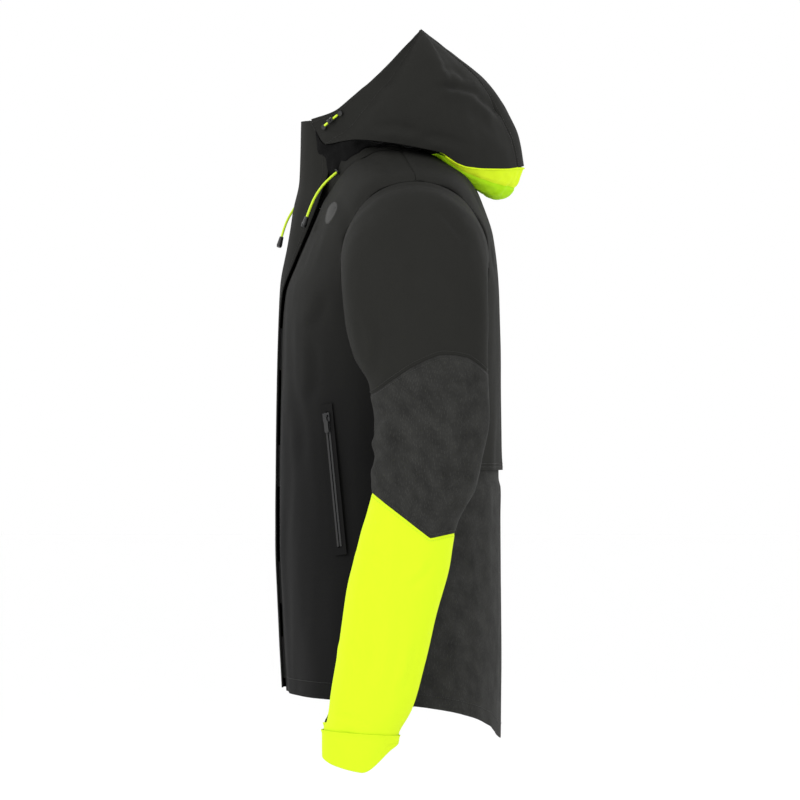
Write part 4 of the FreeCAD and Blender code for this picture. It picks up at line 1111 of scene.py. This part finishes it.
STITCHED = {"yoke": "u3 u4", "lower_back": "u7 v3 v-4", "storm_flap_cloth": "v3 v-4", "hood_strip": "v3 v-4"}
for side, _, _ in SIDES:
    STITCHED |= {f"front_{side}": "u7", f"sleeve_top_{side}": "u3 v3 v-4", f"elbow_{side}": "u-4 u3 v3 v-4",
                 f"forearm_{side}_cloth": "u-4 v3 v-4", f"cuff_{side}_cloth": "u4 u-4",
                 f"collar_{side}_cloth": "u-4", f"hood_{side}": "v12 v-4 v3"}
groups = {}
for name, rows in STITCHED.items():
    colour = "hi_vis" if name.startswith(("forearm", "cuff")) else "black"
    moves = pieces[name]["moves"]
    tied = moves if isinstance(moves, str) else "_".join(moves[:2])
    lines = groups.setdefault((tied, colour), (moves, []))[1]
    lines.extend(grid_row(name, row[0], int(row[1:])) for row in rows.split())
for (tied, colour), (moves, lines) in groups.items():
    thread = thread_hi_vis if colour == "hi_vis" else thread_black
    row = bead_row(f"stitches_{tied}_{colour}", lines, STITCH_PITCH, STITCH_SIZE, (0, 0, 1), thread)
    if isinstance(moves, str):
        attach(row, moves)
    else:
        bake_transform(row)
    print(row.name, len(row.data.polygons), "faces")


# %% Zip coils
def front_coil(side):
    return [Vector((side * 1.95, zip_y(z), z)) for z in span(-603, 49, 120)]


for name, side in (("left", 1), ("right", -1)):
    coil = bead_row(f"coil_teeth_{name}", [front_coil(side)], 1.6, (0.62, 0.75, 1.3), (1, 0, 0), coil_nylon)
    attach(coil, "shell")
    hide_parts(f"zip_coil_{name}")
    print(coil.name, len(coil.data.polygons), "faces")

# %% [markdown]
# ## Piping
# A thin hi-vis piping is sewn between the hood's lower back edge and the gutter. It is a round tube on
# the same path as the gutter's upper edge.

# %% Neck piping
def round_cord(name, route, diameter, material, rounds=5):
    """A NURBS curve with those points as its control points, given its thickness by a bevel."""
    curve = bpy.data.curves.new(name, "CURVE")
    curve.dimensions = "3D"
    spline = curve.splines.new("NURBS")
    spline.points.add(len(route) - 1)
    for point, (x, y, z) in zip(spline.points, route):
        point.co = (x * MM, y * MM, z * MM, 1)
    spline.use_endpoint_u = True
    spline.order_u = 3
    spline.resolution_u = 12
    curve.bevel_depth, curve.bevel_resolution = diameter / 2, rounds
    curve.use_fill_caps = True
    curve.materials.append(material)
    cord = bpy.data.objects.new(name, curve)
    scene.collection.objects.link(cord)
    return cord


route = [gutter_top(t) + Vector((0, 0.4, -0.6)) for t in span(0.02, 0.98, 25)]
piping = round_cord("neck_piping", route, 2.2 * MM, hi_vis, rounds=3)
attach(piping, "shell")
print("piping points", len(route))

# %% [markdown]
# ## Cords
# The hood's drawcord comes out at the front of the neck on both sides: a 3 mm elastic cord that bends
# down in one curve to its moulded end. At the hood's sides a short stretch shows with its lock.

# %% Drawcords and adjuster cords
CORD_DIAMETER = 0.003
LEFT_CORD = [(67, -58, -3), (69, -70, -13), (72, -81, -27), (74.5, -88.5, -42), (75.5, -93.6, -56.5)]
RIGHT_CORD = [(-64, -58, -3), (-62, -72, -9), (-56, -87, -19), (-47, -100.5, -33), (-37, -112, -49),
              (-30, -120.5, -65), (-26, -124.5, -80)]


def route_length(cord):
    """The length of a cord's own line, measured on a copy with no thickness."""
    bare = cord.copy()
    bare.data = cord.data.copy()
    bare.data.bevel_depth = 0
    scene.collection.objects.link(bare)
    mesh = bpy.data.meshes.new_from_object(bare.evaluated_get(bpy.context.evaluated_depsgraph_get()))
    ends = [[mesh.vertices[i].co for i in edge.vertices] for edge in mesh.edges]
    length = sum((a - b).length for a, b in ends)
    bpy.data.objects.remove(bare)
    return length


for side, route in (("left", LEFT_CORD), ("right", RIGHT_CORD)):
    cord = round_cord(f"drawcord_{side}_braid", route, CORD_DIAMETER, cord_braid)
    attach(cord, "shell")
    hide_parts(f"drawcord_{side}")
    length = round(route_length(cord), 4)
    print("drawcord", side, length, "m")


# %% [markdown]
# ## Hardware finishes
# The parts that CAD already shapes well, such as sliders, eyelets, locks and tapes, only need their
# finish. Each node's slots are given the material that its real maker would use.

# %% Finish the carried-over nodes
NODE_FINISH = (
    (moulded, ["cord_end_left", "cord_end_right", "cord_lock_left", "cord_lock_right", "adjuster_eyelets",
               "cord_exit_eyelets", "zip_pull", "pocket_pull_left", "pocket_pull_right"]),
    (zip_enamel, ["zip_slider", "pocket_slider_left", "pocket_slider_right", "zip_bottom_stop"]),
    (coil_nylon, ["pocket_zip_coils"]),
    (front_shell_painted_shade, ["pocket_zip_frame"]),
    (tape_weave, ["zip_tape_left", "zip_tape_right", "hanger_loop", "flap_hook_patches", "flap_loop_patches",
                  "pocket_bag_left", "pocket_bag_right"]),
    (cord_braid, ["adjuster_cords"]),
)
for finish, names in NODE_FINISH:
    for name in names:
        for material_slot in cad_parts[name].material_slots:
            material_slot.material = finish
print("finished nodes", sum(len(names) for _, names in NODE_FINISH))

# %% [markdown]
# ## Paper floor
# White paper runs under the jacket and away behind it. It is staging, not part of the object.

# %% Floor
FLOOR_Z, FLOOR_REACH = -0.80, 60
mesh = bpy.data.meshes.new("paper_floor")
corners = [(FLOOR_REACH * x, FLOOR_REACH * y, FLOOR_Z) for x, y in ((-1, -1), (1, -1), (1, 1), (-1, 1))]
mesh.from_pydata(corners, [], [(0, 1, 2, 3)])
floor = bpy.data.objects.new("paper_floor", mesh)
paper, tree, shader = new_material("white_paper", 0.9)
shader.inputs["Base Color"].default_value = (1, 1, 1, 1)
floor.data.materials.append(paper)
scene.collection.objects.link(floor)
